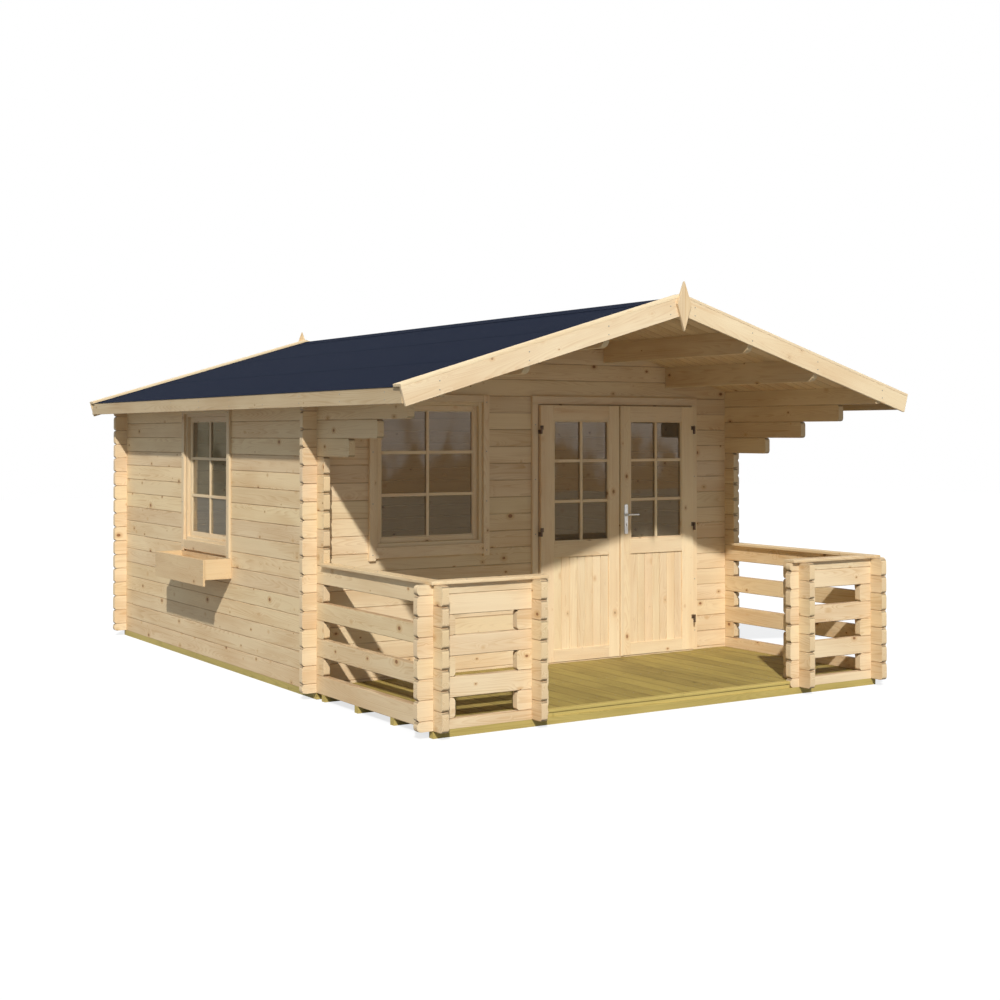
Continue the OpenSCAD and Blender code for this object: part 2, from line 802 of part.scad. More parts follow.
module right_door_leaf() {
    color("#d9b987") translate([door_x, 0, 0]) {
        door_leaf();
        beam(leaf_gap / 2, leaf_gap / 2 + strip_w, leaf_y0 - strip_t, leaf_y0, leaf_z0, leaf_z1);
    }
}

module right_door_glass() {
    color("#8a8272", 0.5) translate([door_x, 0, 0]) leaf_pane();
}

// Lower knuckle, pin and plate of each hinge, fixed to the edge of the trim.
module hinge_pins() {
    for (z = hinge_zs) {
        translate([hinge_x, hinge_y, z]) cylinder(h = hinge_l / 2, r = knuckle_r);
        translate([hinge_x, hinge_y, z]) cylinder(h = hinge_l - 4 * hinge_play, r = pin_r);
        beam(hinge_x + hinge_play, trim_half, hinge_y, front_y, z, z + hinge_l / 2);
    }
}

module door_hinge_pins() {
    color("#4a4540") translate([door_x, 0, 0]) for (s = [1, -1]) mirrored(s) hinge_pins();
}

// Upper knuckle of each hinge and the plate on the leaf's face.
module hinge_sleeves() {
    for (z = hinge_zs) {
        foot = z + hinge_l / 2 + hinge_play;
        difference() {
            union() {
                translate([hinge_x, hinge_y, foot]) cylinder(h = z + hinge_l - foot, r = knuckle_r);
                beam(hinge_x - hinge_plate_l, hinge_x, leaf_y0 - hinge_plate_t, leaf_y0, foot, z + hinge_l);
            }
            translate([hinge_x, hinge_y, z]) cylinder(h = hinge_l - 2 * hinge_play, r = pin_r + pin_fit);
        }
    }
}

module left_door_hinges() {
    color("#4a4540") translate([door_x, 0, 0]) mirrored(-1) hinge_sleeves();
}

module right_door_hinges() {
    color("#4a4540") translate([door_x, 0, 0]) hinge_sleeves();
}

module lock_plates() {
    color("#c8c8c8") for (y = [leaf_y0 - lock_plate_t, leaf_y1])
        difference() {
            beam(lever_x - lock_plate_w / 2, lever_x + lock_plate_w / 2, y, y + lock_plate_t,
                lever_z - lock_plate_l * 0.65, lever_z + lock_plate_l * 0.35);
            translate([lever_x, y - 1, lever_z]) rotate([-90, 0, 0])
                cylinder(h = lock_plate_t + 2, r = collar_r + collar_fit);
        }
}

// Outside and inside lever on one spindle, in the right leaf.
module door_lever() {
    out = leaf_y0 - lever_out;
    in = leaf_y1 + lever_out;
    color("#c8c8c8") {
        for (y = [out, leaf_y1 + collar_fit])
            translate([lever_x, y, lever_z]) rotate([-90, 0, 0])
                cylinder(h = lever_out - collar_fit, r = collar_r);
        for (y = [out + lever_r, in - lever_r])
            translate([lever_x, y, lever_z]) rotate([0, 90, 0]) cylinder(h = lever_l, r = lever_r);
    }
}

// ---------------------------------------------------------------- windows
// A window in its own frame: middle of the opening's foot at the origin, outer face at Y 0, room towards +Y.
module window_frame() {
    inner_w = open_w - 2 * lining_t;
    inner_h = open_h - 2 * lining_t;
    glass_y = sash_back + bar_t;
    difference() {
        translate([-open_w / 2, 0, 0]) cube([open_w, lining_d, open_h]);
        translate([-inner_w / 2, -1, lining_t]) cube([inner_w, sash_back + 1, inner_h]);
        translate([-pane_w / 2, 0, lining_t + sash_w]) cube([pane_w, lining_d + 1, pane_h]);
        window_pane();
    }
    for (y = [sash_back, glass_y + glass_t])
        translate([-pane_w / 2, y, lining_t + sash_w]) glazing_bars(pane_w, pane_h, bar_t);
}

module window_pane() {
    translate([-pane_w / 2 - glass_lap, sash_back + bar_t, lining_t + sash_w - glass_lap])
        cube([pane_w + 2 * glass_lap, glass_t, pane_h + 2 * glass_lap]);
}

module window_trim_boards() {
    inner = open_w / 2 - trim_lap;
    top = open_h - trim_lap;
    for (s = [-1, 1])
        translate([s * (inner + trim_w / 2) - trim_w / 2, -trim_t, -trim_leg])
            cube([trim_w, trim_t, trim_leg + top + trim_w]);
    translate([-inner, -trim_t, top]) cube([2 * inner, trim_t, trim_w]);
    translate([-inner, -trim_t, trim_lap - trim_foot_h]) cube([2 * inner, trim_t, trim_foot_h]);
}

module at_front_window() {
    translate([-window_x, front_y, z0 + front_sill]) children();
}

module at_side_window() {
    translate([-half_w, front_y + window_y, z0 + side_sill]) rotate([0, 0, -90]) children();
}

module window_frames() {
    color("#c9a877") {
        at_front_window() window_frame();
        at_side_window() window_frame();
    }
}

module front_window_glass() {
    color("#8a8272", 0.5) at_front_window() window_pane();
}

module side_window_glass() {
    color("#8a8272", 0.5) at_side_window() window_pane();
}

module window_trim() {
    color("#d4b482") {
        at_front_window() window_trim_boards();
        at_side_window() window_trim_boards();
    }
}

// Open-topped box below the side window: back, floor, two ends and a deeper front board.
module flower_box() {
    top = -trim_leg - box_gap;
    color("#dcc08c") at_side_window() difference() {
        union() {
            translate([-box_l / 2, -box_p + box_t, top - box_end_h]) cube([box_l, box_p - box_t, box_end_h]);
            translate([-box_l / 2 - box_over, -box_p, top - box_front_h])
                cube([box_l + 2 * box_over, box_t, box_front_h]);
        }
        translate([box_t - box_l / 2, box_t - box_p, top - box_end_h + box_t])
            cube([box_l - 2 * box_t, box_p - 2 * box_t, box_end_h]);
    }
}

cross_beams();
side_beams();
room_floor();
veranda_deck();
deck_edge_board();
left_wall();
right_wall();
back_wall();
back_gable();
front_wall_left();
front_wall_right();
front_gable();
left_side_rail();
right_side_rail();
left_front_rail();
right_front_rail();
entrance_posts();
left_handrail();
right_handrail();
left_purlins();
right_purlins();
left_roof_boards();
right_roof_boards();
left_roof_felt();
right_roof_felt();
eave_fascias();
front_bargeboards();
back_bargeboards();
finials();
door_frame();
door_trim();
door_hinge_pins();
left_door_leaf();
left_door_glass();
left_door_hinges();
right_door_leaf();
right_door_glass();
right_door_hinges();
lock_plates();
door_lever();
window_frames();
front_window_glass();
side_window_glass();
window_trim();
flower_box();
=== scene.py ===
import math

import bpy
import numpy as np
from mathutils import Matrix, Vector


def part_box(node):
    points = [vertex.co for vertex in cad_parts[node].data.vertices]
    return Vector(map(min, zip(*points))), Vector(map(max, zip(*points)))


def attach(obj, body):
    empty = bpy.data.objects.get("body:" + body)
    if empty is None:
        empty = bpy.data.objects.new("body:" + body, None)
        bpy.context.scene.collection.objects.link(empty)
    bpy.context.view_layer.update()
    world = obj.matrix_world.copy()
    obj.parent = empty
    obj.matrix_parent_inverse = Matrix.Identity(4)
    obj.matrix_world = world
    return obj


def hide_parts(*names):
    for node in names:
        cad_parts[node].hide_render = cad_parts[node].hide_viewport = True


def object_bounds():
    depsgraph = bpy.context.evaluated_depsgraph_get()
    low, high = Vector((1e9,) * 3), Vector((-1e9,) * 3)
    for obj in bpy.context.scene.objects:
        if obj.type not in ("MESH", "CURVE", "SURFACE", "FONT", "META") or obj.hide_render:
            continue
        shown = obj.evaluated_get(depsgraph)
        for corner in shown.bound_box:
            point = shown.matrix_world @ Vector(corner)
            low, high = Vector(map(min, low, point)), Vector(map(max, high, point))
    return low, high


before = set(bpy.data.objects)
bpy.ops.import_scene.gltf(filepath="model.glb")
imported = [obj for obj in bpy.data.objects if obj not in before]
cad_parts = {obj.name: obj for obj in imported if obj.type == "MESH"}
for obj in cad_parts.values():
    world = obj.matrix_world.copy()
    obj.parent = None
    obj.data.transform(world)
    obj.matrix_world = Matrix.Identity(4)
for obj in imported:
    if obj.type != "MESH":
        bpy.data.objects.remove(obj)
cadLow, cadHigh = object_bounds()

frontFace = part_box("front_wall_right")[0].y  # outer face of the front wall
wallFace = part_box("left_wall")[0]  # outer face and foot of the left wall
logHeight = 0.120  # one log from seam to seam
logFoot = wallFace.z  # underside of the lowest log
roofPitch = math.radians(16.5)
pitchCos = math.cos(roofPitch)
sideWord = {-1: "left", 1: "right"}
weldWithin = 0.00001  # points closer than this count as one
goldenStep = 0.618034  # spreads the shifts of the boards' figures evenly
figureShift = {"along": 31.0, "across": 3.0, "through": 2.0, "turns": 7.0}
endFacing = 0.75  # faces that look further along the grain are end grain
boardCount = [0]  # boards made so far, each with a figure of its own


def selectOnly(*objects):
    bpy.ops.object.select_all(action="DESELECT")
    for each in objects:
        each.select_set(True)
    bpy.context.view_layer.objects.active = objects[0]


def applyPlace(piece):
    selectOnly(piece)
    bpy.ops.object.transform_apply(location=True, rotation=True, scale=True)


def openMesh(action="SELECT"):
    # Opens the active mesh with everything or nothing selected.
    bpy.ops.object.mode_set(mode="EDIT")
    bpy.ops.mesh.select_all(action=action)


def closeMesh():
    bpy.ops.object.mode_set(mode="OBJECT")


def extrude(*step):
    bpy.ops.mesh.extrude_region_move(TRANSFORM_OT_translate={"value": step})


def setAll(thing, settings):
    for name, value in settings.items():
        setattr(thing, name, value)


def applyModifier(piece, kind, **settings):
    setAll(piece.modifiers.new("change", kind), settings)
    bpy.ops.object.modifier_apply(modifier="change")


def openAt(piece, wanted):
    # Opens the active mesh with only the points that pass the test selected.
    openMesh("DESELECT")
    closeMesh()
    for point in piece.data.vertices:
        point.select = wanted(point.co)
    bpy.ops.object.mode_set(mode="EDIT")


def faceOutwards(piece):
    selectOnly(piece)
    openMesh()
    bpy.ops.mesh.remove_doubles(threshold=weldWithin)
    bpy.ops.mesh.normals_make_consistent(inside=False)
    closeMesh()


def readVectors(data, field):
    values = np.zeros(len(data) * 3, np.float32)
    data.foreach_get(field, values)
    return values


def storeValues(mesh, name, values, kind="FLOAT", domain="POINT"):
    field = "value" if kind == "FLOAT" else "vector"
    data = mesh.attributes.new(name, kind, domain).data
    data.foreach_set(field, np.asarray(values, np.float32).ravel())


def markGrain(piece, along, wide=None):
    # Stores where each point lies in its own board: along the grain, across the face, through it.
    mesh = piece.data
    points = readVectors(mesh.vertices, "co").reshape(-1, 3)
    low, high = points.min(0), points.max(0)
    if wide is None:
        wide = max((axis for axis in range(3) if axis != along), key=lambda axis: (high - low)[axis])
    boardCount[0] += 1
    tone = (boardCount[0] * goldenStep) % 1.0
    local = (points - (high + low) / 2)[:, [along, wide, 3 - along - wide]]
    across = (tone * figureShift["turns"]) % 1.0 * figureShift["across"]
    local += np.array([tone * figureShift["along"], across, tone * figureShift["through"]], np.float32)
    storeValues(mesh, "grain", local, "FLOAT_VECTOR")
    storeValues(mesh, "tone", [tone] * len(points))
    ends = [float(abs(face.normal[along]) > endFacing) for face in mesh.polygons]
    storeValues(mesh, "endGrain", ends, domain="FACE")


def addBlock(corner, opposite):
    # A plain block between two opposite corners, whichever of them is the lower one.
    low, high = (Vector([pick(pair) for pair in zip(corner, opposite)]) for pick in (min, max))
    bpy.ops.mesh.primitive_cube_add(size=1, location=(low + high) / 2, scale=high - low)
    block = bpy.context.object
    applyPlace(block)
    return block


def addBoard(corner, opposite, along, edge, wide=None):
    # A block with rounded edges; along and wide are the axes of its grain and of its broad side.
    board = addBlock(corner, opposite)
    openMesh()
    bpy.ops.mesh.bevel(offset=edge, segments=2, affect="EDGES")
    closeMesh()
    markGrain(board, along, wide)
    return board


def cutAway(piece, point, normal):
    # Cuts off everything on the side that normal points to, and closes the cut.
    selectOnly(piece)
    openMesh()
    bpy.ops.mesh.bisect(plane_co=point, plane_no=normal, use_fill=True, clear_outer=True)
    closeMesh()


def layOnSlope(piece, ridgeZ, ridgeX=0.0):
    # Turns a flat piece down the right slope and cuts it plumb at the ridge.
    piece.data.transform(Matrix.Rotation(roofPitch, 4, "Y"))
    piece.data.transform(Matrix.Translation((0, 0, ridgeZ)))
    cutAway(piece, (ridgeX, 0, 0), (-1, 0, 0))


def mirror(piece):
    # Turns a piece over to the other side of the ridge, right side out.
    piece.data.transform(Matrix.Scale(-1, 4, (1, 0, 0)))
    piece.data.flip_normals()


def roundWhere(piece, width, segments, wanted):
    # Rounds only the edges whose two ends pass the test.
    selectOnly(piece)
    openMesh("DESELECT")
    bpy.ops.mesh.select_mode(type="EDGE")
    closeMesh()
    for line in piece.data.edges:
        first, second = (piece.data.vertices[v].co for v in line.vertices)
        line.select = wanted(first, second)
    bpy.ops.object.mode_set(mode="EDIT")
    bpy.ops.mesh.bevel(offset=width, segments=segments, affect="EDGES")
    bpy.ops.mesh.select_mode(type="VERT")
    closeMesh()


def addRod(start, end, radius, sides, edge=0.0):
    start, end = Vector(start), Vector(end)
    bpy.ops.mesh.primitive_cylinder_add(vertices=sides, radius=radius, depth=(end - start).length)
    rod = bpy.context.object
    if edge:
        roundWhere(rod, edge, 2, lambda first, second: abs(first.z - second.z) < weldWithin)
    turn = (end - start).to_track_quat("Z", "Y").to_matrix().to_4x4()
    rod.data.transform(Matrix.Translation((start + end) / 2) @ turn)
    return rod


screwMake = {"radius": 0.004, "sunk": 0.0005, "proud": 0.0009, "sides": 12, "edge": 0.0003}


def addScrews(points, outwards, radius=screwMake["radius"]):
    # Countersunk screw heads, a little proud of the wood, that look along outwards.
    m = screwMake
    sunk, proud = Vector(outwards) * m["sunk"], Vector(outwards) * m["proud"]
    return [addRod(Vector(spot) - sunk, Vector(spot) + proud, radius, m["sides"], m["edge"])
            for spot in points]


def softenedCopy(names, width):
    # A merged copy of frame nodes with their sharp edges rounded.
    copies = []
    for name in names:
        twin = bpy.data.objects.new(name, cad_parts[name].data.copy())
        bpy.context.scene.collection.objects.link(twin)
        copies.append(twin)
    selectOnly(*copies)
    if len(copies) > 1:
        bpy.ops.object.join()
    piece = bpy.context.view_layer.objects.active
    openMesh()
    bpy.ops.mesh.remove_doubles(threshold=weldWithin)
    bpy.ops.mesh.dissolve_limited(angle_limit=math.radians(0.5))
    closeMesh()
    applyModifier(piece, "BEVEL", width=width, segments=2, angle_limit=math.radians(32))
    return piece


def takeOut(piece, tool):
    # Takes the tool's shape out of the piece, and removes the tool.
    selectOnly(piece)
    applyModifier(piece, "BOOLEAN", operation="DIFFERENCE", object=tool)
    bpy.data.objects.remove(tool)


def copyTo(piece, shift):
    twin = piece.copy()
    twin.data = piece.data.copy()
    bpy.context.scene.collection.objects.link(twin)
    twin.data.transform(Matrix.Translation(shift))
    return twin


def finishPiece(parts, name, material, nodes=(), body="cabin"):
    selectOnly(*parts)
    if len(parts) > 1:
        bpy.ops.object.join()
    piece = bpy.context.view_layer.objects.active
    piece.name = piece.data.name = name
    bpy.ops.object.shade_smooth_by_angle(angle=math.radians(35))
    applyModifier(piece, "WEIGHTED_NORMAL", keep_sharp=True)  # wide faces stay flat, edges round
    piece.data.materials.clear()
    piece.data.materials.append(material)
    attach(piece, body)
    if nodes:
        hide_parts(*nodes)


def fromHex(text):
    # A colour as it is written on screen, turned into the linear values that sockets take.
    parts = [int(text[i:i + 2], 16) / 255 for i in (1, 3, 5)]
    return tuple(p / 12.92 if p <= 0.04045 else ((p + 0.055) / 1.055) ** 2.4 for p in parts) + (1.0,)


drawing = {}  # the node tree that new nodes go to


def fill(socket, value):
    # Links a socket to another one, or gives it a plain value.
    if isinstance(value, bpy.types.NodeSocket):
        drawing["tree"].links.new(value, socket)
    elif value is not None:
        socket.default_value = value


def fillNamed(node, values):
    for name, value in values.items():
        fill(node.inputs[name], value)


def addNode(kind, *values, **settings):
    # A node with its settings, and its inputs filled in their order.
    node = drawing["tree"].nodes.new("ShaderNode" + kind)
    setAll(node, settings)
    for socket, value in zip(node.inputs, values):
        fill(socket, value)
    return node


def addMath(operation, *values, clamp=False):
    return addNode("Math", *values, operation=operation, use_clamp=clamp).outputs[0]


def times(first, second):
    return addMath("MULTIPLY", first, second)


def minus(first, second):
    return addMath("SUBTRACT", first, second)


def timesPlus(first, factor, rest):
    return addMath("MULTIPLY_ADD", first, factor, rest)


def addMix(share, first, second, blend="MIX"):
    node = addNode("Mix", share, data_type="RGBA", blend_type=blend)
    fill(node.inputs[6], first)
    fill(node.inputs[7], second)
    return node.outputs[2]


def fade(value, low, high, newLow=0.0, newHigh=1.0):
    node = addNode("MapRange", value, low, high, newLow, newHigh, interpolation_type="SMOOTHSTEP")
    return node.outputs[0]


def addSplit(vector):
    return addNode("SeparateXYZ", vector).outputs[:3]


def addStretched(parts, factors):
    # A vector made of the three values, each one times its factor.
    scaled = [times(part, factor) for part, factor in zip(parts, factors)]
    return addNode("CombineXYZ", *scaled).outputs[0]


def addNoise(vector, scale=1.0, detail=2.0, rough=0.5):
    node = addNode("TexNoise")
    fillNamed(node, {"Vector": vector, "Scale": scale, "Detail": detail, "Roughness": rough})
    return node.outputs[0]


def objectPlace(output="Object"):
    return addNode("TexCoord").outputs[output]


figureInputs = {
    "Row Height": 0.12, "First Seam": 0.0, "Seed": 0.0, "Knots": 0.5, "End": 0.0, "Contrast": 1.0,
    "Seam": 0.0, "NotchShade": 0.0}
knotMake = {
    "spread": (2.4, 9.0, 9.0), "shape": (0.72, 1, 0.25), "small": 0.0035, "larger": 0.0115,
    "core": (1.05, 0.75), "rim": (2.6, 1.0), "swell": (6.0, 0.6)}
ringMake = {"count": 38.0, "sweep": 0.055, "sawnCount": 34.0}
notchShadeTone = (0.060, 0.030, 0.014, 1.0)  # painted shade inside the notched seams of the log ends


def makeTimberGroup():
    # Growth rings, fibres, knots and end grain of softwood, with a figure of its own for each board.
    tree = drawing["tree"] = bpy.data.node_groups.new("softwoodFigure", "ShaderNodeTree")
    addSocket = tree.interface.new_socket
    addSocket("Place", in_out="INPUT", socket_type="NodeSocketVector")
    for name, value in figureInputs.items():
        addSocket(name, in_out="INPUT", socket_type="NodeSocketFloat").default_value = value
    for name in ("Pale", "Deep", "Knot"):
        addSocket(name, in_out="INPUT", socket_type="NodeSocketColor")
    for name, kind in (("Color", "Color"), ("Height", "Float"), ("Roughness", "Float")):
        addSocket(name, in_out="OUTPUT", socket_type="NodeSocket" + kind)
    given = tree.nodes.new("NodeGroupInput").outputs
    put = tree.nodes.new("NodeGroupOutput")

    def noise(stretch, detail, rough=0.5):
        return addNoise(addStretched(place, stretch), detail=detail, rough=rough)

    split = addSplit(given["Place"])
    row = addMath("DIVIDE", minus(split[1], given["First Seam"]), given["Row Height"])
    pair = addNode("CombineXYZ", addMath("FLOOR", row), given["Seed"]).outputs[0]
    dice = addNode("TexWhiteNoise", pair, noise_dimensions="2D").outputs["Color"]
    chance = addNode("SeparateColor", dice).outputs
    place = [timesPlus(one, shift, part) for one, shift, part in zip(chance, (23.0, 9.0, 5.0), split)]

    # Knots: the nearest of a set of scattered centres, measured in real metres.
    spread = addStretched(place, knotMake["spread"])
    cells = addNode("TexVoronoi", spread, feature="F1")
    cells.inputs["Scale"].default_value = 1.0
    away = addNode("VectorMath", spread, cells.outputs["Position"], operation="SUBTRACT").outputs[0]
    metres = tuple(shape / step for shape, step in zip(knotMake["shape"], knotMake["spread"]))
    real = addNode("VectorMath", away, metres, operation="MULTIPLY").outputs[0]
    gap = addNode("VectorMath", real, operation="LENGTH").outputs["Value"]
    cell = addNode("SeparateColor", cells.outputs["Color"]).outputs
    present = addMath("LESS_THAN", cell[0], given["Knots"])
    radius = timesPlus(times(cell[1], cell[1]), knotMake["larger"], knotMake["small"])
    ratio = addMath("DIVIDE", gap, radius)
    core, rim, swell = (times(fade(ratio, *knotMake[zone]), present) for zone in ("core", "rim", "swell"))

    # Rings are the level lines of a slow noise, drawn out along the board and swept round the knots.
    field = timesPlus(swell, ringMake["sweep"], noise((0.42, 7.5, 7.5), 1.5, 0.4))
    rings = addMath("FRACT", times(field, ringMake["count"]))
    late = times(fade(rings, 0.25, 0.92), fade(rings, 1.0, 0.92))
    sawn = addMath("FRACT", times(noise((0.02, 9.0, 9.0), 0.0), ringMake["sawnCount"]))
    sawn = times(fade(sawn, 0.2, 0.85), fade(sawn, 1.0, 0.85))
    fibre = noise((7.0, 330.0, 330.0), 2.0)
    cloud = noise((1.3, 5.5, 5.5), 2.5)
    streak = noise((0.8, 48.0, 48.0), 1.0)

    # Depth is how far the colour lies from pale to deep.
    depth = times(late, fade(streak, 0.3, 0.75, 0.10, 0.50))
    for source, middle, share in ((fibre, 0.5, 0.30), (cloud, 0.43, 1.7), (chance[2], 0.5, 0.22)):
        depth = timesPlus(minus(source, middle), share, depth)
    depth = addMath("MULTIPLY", depth, given["Contrast"], clamp=True)
    endDepth = addMath("MULTIPLY_ADD", sawn, 0.45, 0.10, clamp=True)
    either = addNode("Mix", given["End"], None, depth, endDepth).outputs[0]
    wood = addMix(either, given["Pale"], given["Deep"])
    bright = timesPlus(chance[1], 0.12, 0.91)
    green = timesPlus(chance[0], 0.015, minus(bright, 0.008))
    blue = timesPlus(chance[2], 0.05, minus(bright, 0.025))
    tint = addNode("CombineColor", bright, green, blue).outputs[0]
    wood = addMix(1.0, wood, tint, "MULTIPLY")
    sideOnly = minus(1.0, given["End"])
    for zone, share, tone in ((rim, 0.75, "Deep"), (core, 0.85, "Knot")):
        wood = addMix(times(times(zone, share), sideOnly), wood, given[tone])

    # Seams between rows are dark and broken; the notched log ends get a wider painted shade beside them.
    part = addMath("FRACT", row)
    fromSeam = times(addMath("MINIMUM", part, minus(1.0, part)), given["Row Height"])
    broken = fade(noise((3.5, 3.0, 3.0), 2.0), 0.35, 0.62, 0.35, 1.0)
    seam = times(fade(fromSeam, 0.0054, 0.0016), given["Seam"])
    wood = addMix(times(seam, broken), wood, given["Knot"])
    notch = times(fade(fromSeam, 0.0300, 0.0120), fade(fromSeam, 0.0030, 0.0075))
    wood = addMix(times(notch, given["NotchShade"]), wood, notchShadeTone)
    relief = timesPlus(late, 0.45, times(fibre, 0.4))
    rough = timesPlus(depth, -0.10, 0.66)
    fillNamed(put, {"Color": wood, "Height": timesPlus(core, -0.5, relief), "Roughness": rough})
    return tree


timberTones = {  # pale, deep and knot
    "planed": ("#eed4a8", "#d0a976", "#865835"),
    # front: the same logs as planed, a little paler and less orange, a painted correction that cools the
    # shade on the front walls
    "front": ("#f0d7ae", "#d3ad7d", "#865835"),
    "joinery": ("#f7dfb6", "#e0ba8a", "#94653f"),
    "shaded": ("#ebd0a4", "#cda471", "#7f5433"),
    "fascia": ("#d1ba92", "#b49367", "#7b5333"),
    "box": ("#e3c799", "#caa170", "#835731"),
    "treated": ("#c3ae66", "#94833f", "#5f5028"),
    "edge": ("#cdb56a", "#a28d48", "#5f5028"),
    "deck": ("#ac9753", "#84713a", "#4f4322"),
}
figure = makeTimberGroup()


def startMaterial(name):
    material = bpy.data.materials.new(name)
    material.use_nodes = True
    drawing["tree"] = material.node_tree
    return material, material.node_tree.nodes["Principled BSDF"]


def addBump(height, shader, strength, distance):
    bump = addNode("Bump")
    fillNamed(bump, {"Strength": strength, "Distance": distance, "Height": height})
    fill(shader.inputs["Normal"], bump.outputs[0])


def addTimber(shader, tone, values):
    node = addNode("Group", node_tree=figure)
    fillNamed(node, values)
    fillNamed(node, dict(zip(("Pale", "Deep", "Knot"), map(fromHex, timberTones[tone]))))
    made = node.outputs
    fillNamed(shader, {
        "Base Color": made["Color"], "Roughness": made["Roughness"], "Specular IOR Level": 0.25})
    addBump(made["Height"], shader, 0.35, 0.0012)
    return node


def makeRowTimber(name, tone, order, seed, values, shadeNotches=False):
    # Timber of a CAD node: order says which axes run along, across and through its logs or boards.
    material, shader = startMaterial(name)
    place = addNode("TexCoord").outputs
    split, facing = addSplit(place["Object"]), addSplit(place["Normal"])
    node = addTimber(shader, tone, {"Seed": seed, **values})
    joined = addNode("CombineXYZ", *(split[axis] for axis in order)).outputs[0]
    end = addMath("GREATER_THAN", addMath("ABSOLUTE", facing[order[0]]), endFacing)
    fillNamed(node, {"Place": joined, "End": end})
    if shadeNotches:
        # Faces that look up or down near a seam, as in the notches of the log ends, get painted shade.
        upOrDown = addMath("ABSOLUTE", facing[2])
        fill(node.inputs["NotchShade"], fade(upOrDown, 0.25, 0.8, 0.0, 0.9))
    return material


def makeBoardTimber(name, tone, knots, contrast=1.0):
    # Timber of pieces made of boards, which carry their own grain: one tall row holds them all.
    material, shader = startMaterial(name)
    values = {"Row Height": 900.0, "First Seam": -450.0, "Knots": knots, "Contrast": contrast}
    node = addTimber(shader, tone, values)

    def read(attribute, output="Fac"):
        return addNode("Attribute", attribute_name=attribute).outputs[output]

    fillNamed(node, {"Place": read("grain", "Vector"), "Seed": read("tone"), "End": read("endGrain")})
    # Darkens the colour where the attribute is set: weathering on the side window, and grime with painted
    # shade along the deck boards' joints and grooves.
    share = times(read("wearGrimeAndShade"), 0.30)
    wornAndShaded = addMix(share, node.outputs["Color"], fromHex("#6f5a40"))
    fill(shader.inputs["Base Color"], wornAndShaded)
    return material


def makeFelt(name):
    material, shader = startMaterial(name)
    place = objectPlace()
    grit = addNoise(place, scale=900.0, detail=2.0)
    patch = addNoise(place, scale=2.6, detail=3.0)
    colour = addMix(fade(grit, 0.35, 0.7), fromHex("#141a28"), fromHex("#1e2536"))
    colour = addMix(fade(patch, 0.3, 0.75, 0.0, 0.4), colour, fromHex("#181f30"))
    fillNamed(shader, {"Base Color": colour, "Roughness": 0.9, "Specular IOR Level": 0.04})
    addBump(grit, shader, 0.6, 0.0012)
    return material


def makeGlass(name):
    material, shader = startMaterial(name)
    fillNamed(shader, {
        "Base Color": fromHex("#f1e3c8"), "Roughness": 0.0, "Transmission Weight": 0.92, "IOR": 1.46})
    addBump(addNoise(objectPlace(), scale=3.0, detail=0.0), shader, 0.15, 0.002)
    return material


def makeMetal(name, colour, dark, rough, metallic, streak):
    material, shader = startMaterial(name)
    lines = addNoise(addStretched(addSplit(objectPlace()), streak), detail=2.0)
    tone = addMix(fade(lines, 0.35, 0.7), fromHex(colour), fromHex(dark))
    roughness = fade(lines, 0.3, 0.7, rough - 0.06, rough + 0.08)
    fillNamed(shader, {"Base Color": tone, "Metallic": metallic, "Roughness": roughness})
    addBump(lines, shader, 0.2, 0.0004)
    return material


roofBoardWide = 0.095
roofLow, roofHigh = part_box("left_roof_boards")
roofRow = (roofHigh.y - roofLow.y) / round((roofHigh.y - roofLow.y) / roofBoardWide)
alongX, alongY, upright = (0, 2, 1), (1, 2, 0), (2, 0, 1)
logRows = {"Row Height": logHeight, "First Seam": logFoot, "Seam": 0.52, "Knots": 0.85}
logRowsHalfDown = {**logRows, "First Seam": logFoot - logHeight / 2}
roofRows = {"Row Height": roofRow, "First Seam": roofLow.y, "Seam": 0.55, "Knots": 0.4}
onePiece = {"Row Height": 9.0, "Knots": 0.4}
logsAlongY = makeRowTimber("logsAlongY", "planed", alongY, 1.0, logRows, True)
logsAlongX = makeRowTimber("logsAlongX", "front", alongX, 2.0, logRowsHalfDown, True)
roofUnder = makeRowTimber("roofUnder", "shaded", (0, 1, 2), 3.0, roofRows)
beamsAlongY = makeRowTimber("beamsAlongY", "shaded", alongY, 4.0, onePiece)
boardsAlongY = makeRowTimber("boardsAlongY", "fascia", alongY, 5.0, onePiece)
boardsUpright = makeRowTimber("boardsUpright", "planed", upright, 6.0, {**onePiece, "Knots": 0.1})
treatedAlongX = makeRowTimber("treatedAlongX", "edge", alongX, 8.0, onePiece)
treatedAlongY = makeRowTimber("treatedAlongY", "treated", alongY, 9.0, onePiece)
planedBoards = makeBoardTimber("planedBoards", "planed", 0.5)
gableBoards = makeBoardTimber("gableBoards", "joinery", 0.6)
boxBoards = makeBoardTimber("boxBoards", "box", 0.5)
joineryBoards = makeBoardTimber("joineryBoards", "joinery", 0.6, 0.95)
deckBoards = makeBoardTimber("deckBoards", "deck", 0.4, 1.35)
edgeTimber = makeBoardTimber("edgeTimber", "edge", 0.35, 1.2)
floorPlanks = makeBoardTimber("floorPlanks", "shaded", 0.4)
felt = makeFelt("roofFelt")
glass = makeGlass("paneGlass")
steel = makeMetal("satinSteel", "#f0efec", "#d8d7d5", 0.30, 0.55, (900.0, 900.0, 20.0))
darkMetal = makeMetal("darkHinge", "#6f5640", "#4c3b2c", 0.55, 0.25, (60.0, 60.0, 60.0))
zinc = makeMetal("zincScrew", "#a8a49a", "#86827a", 0.4, 0.9, (300.0, 300.0, 300.0))
print("materials made:", len(bpy.data.materials))

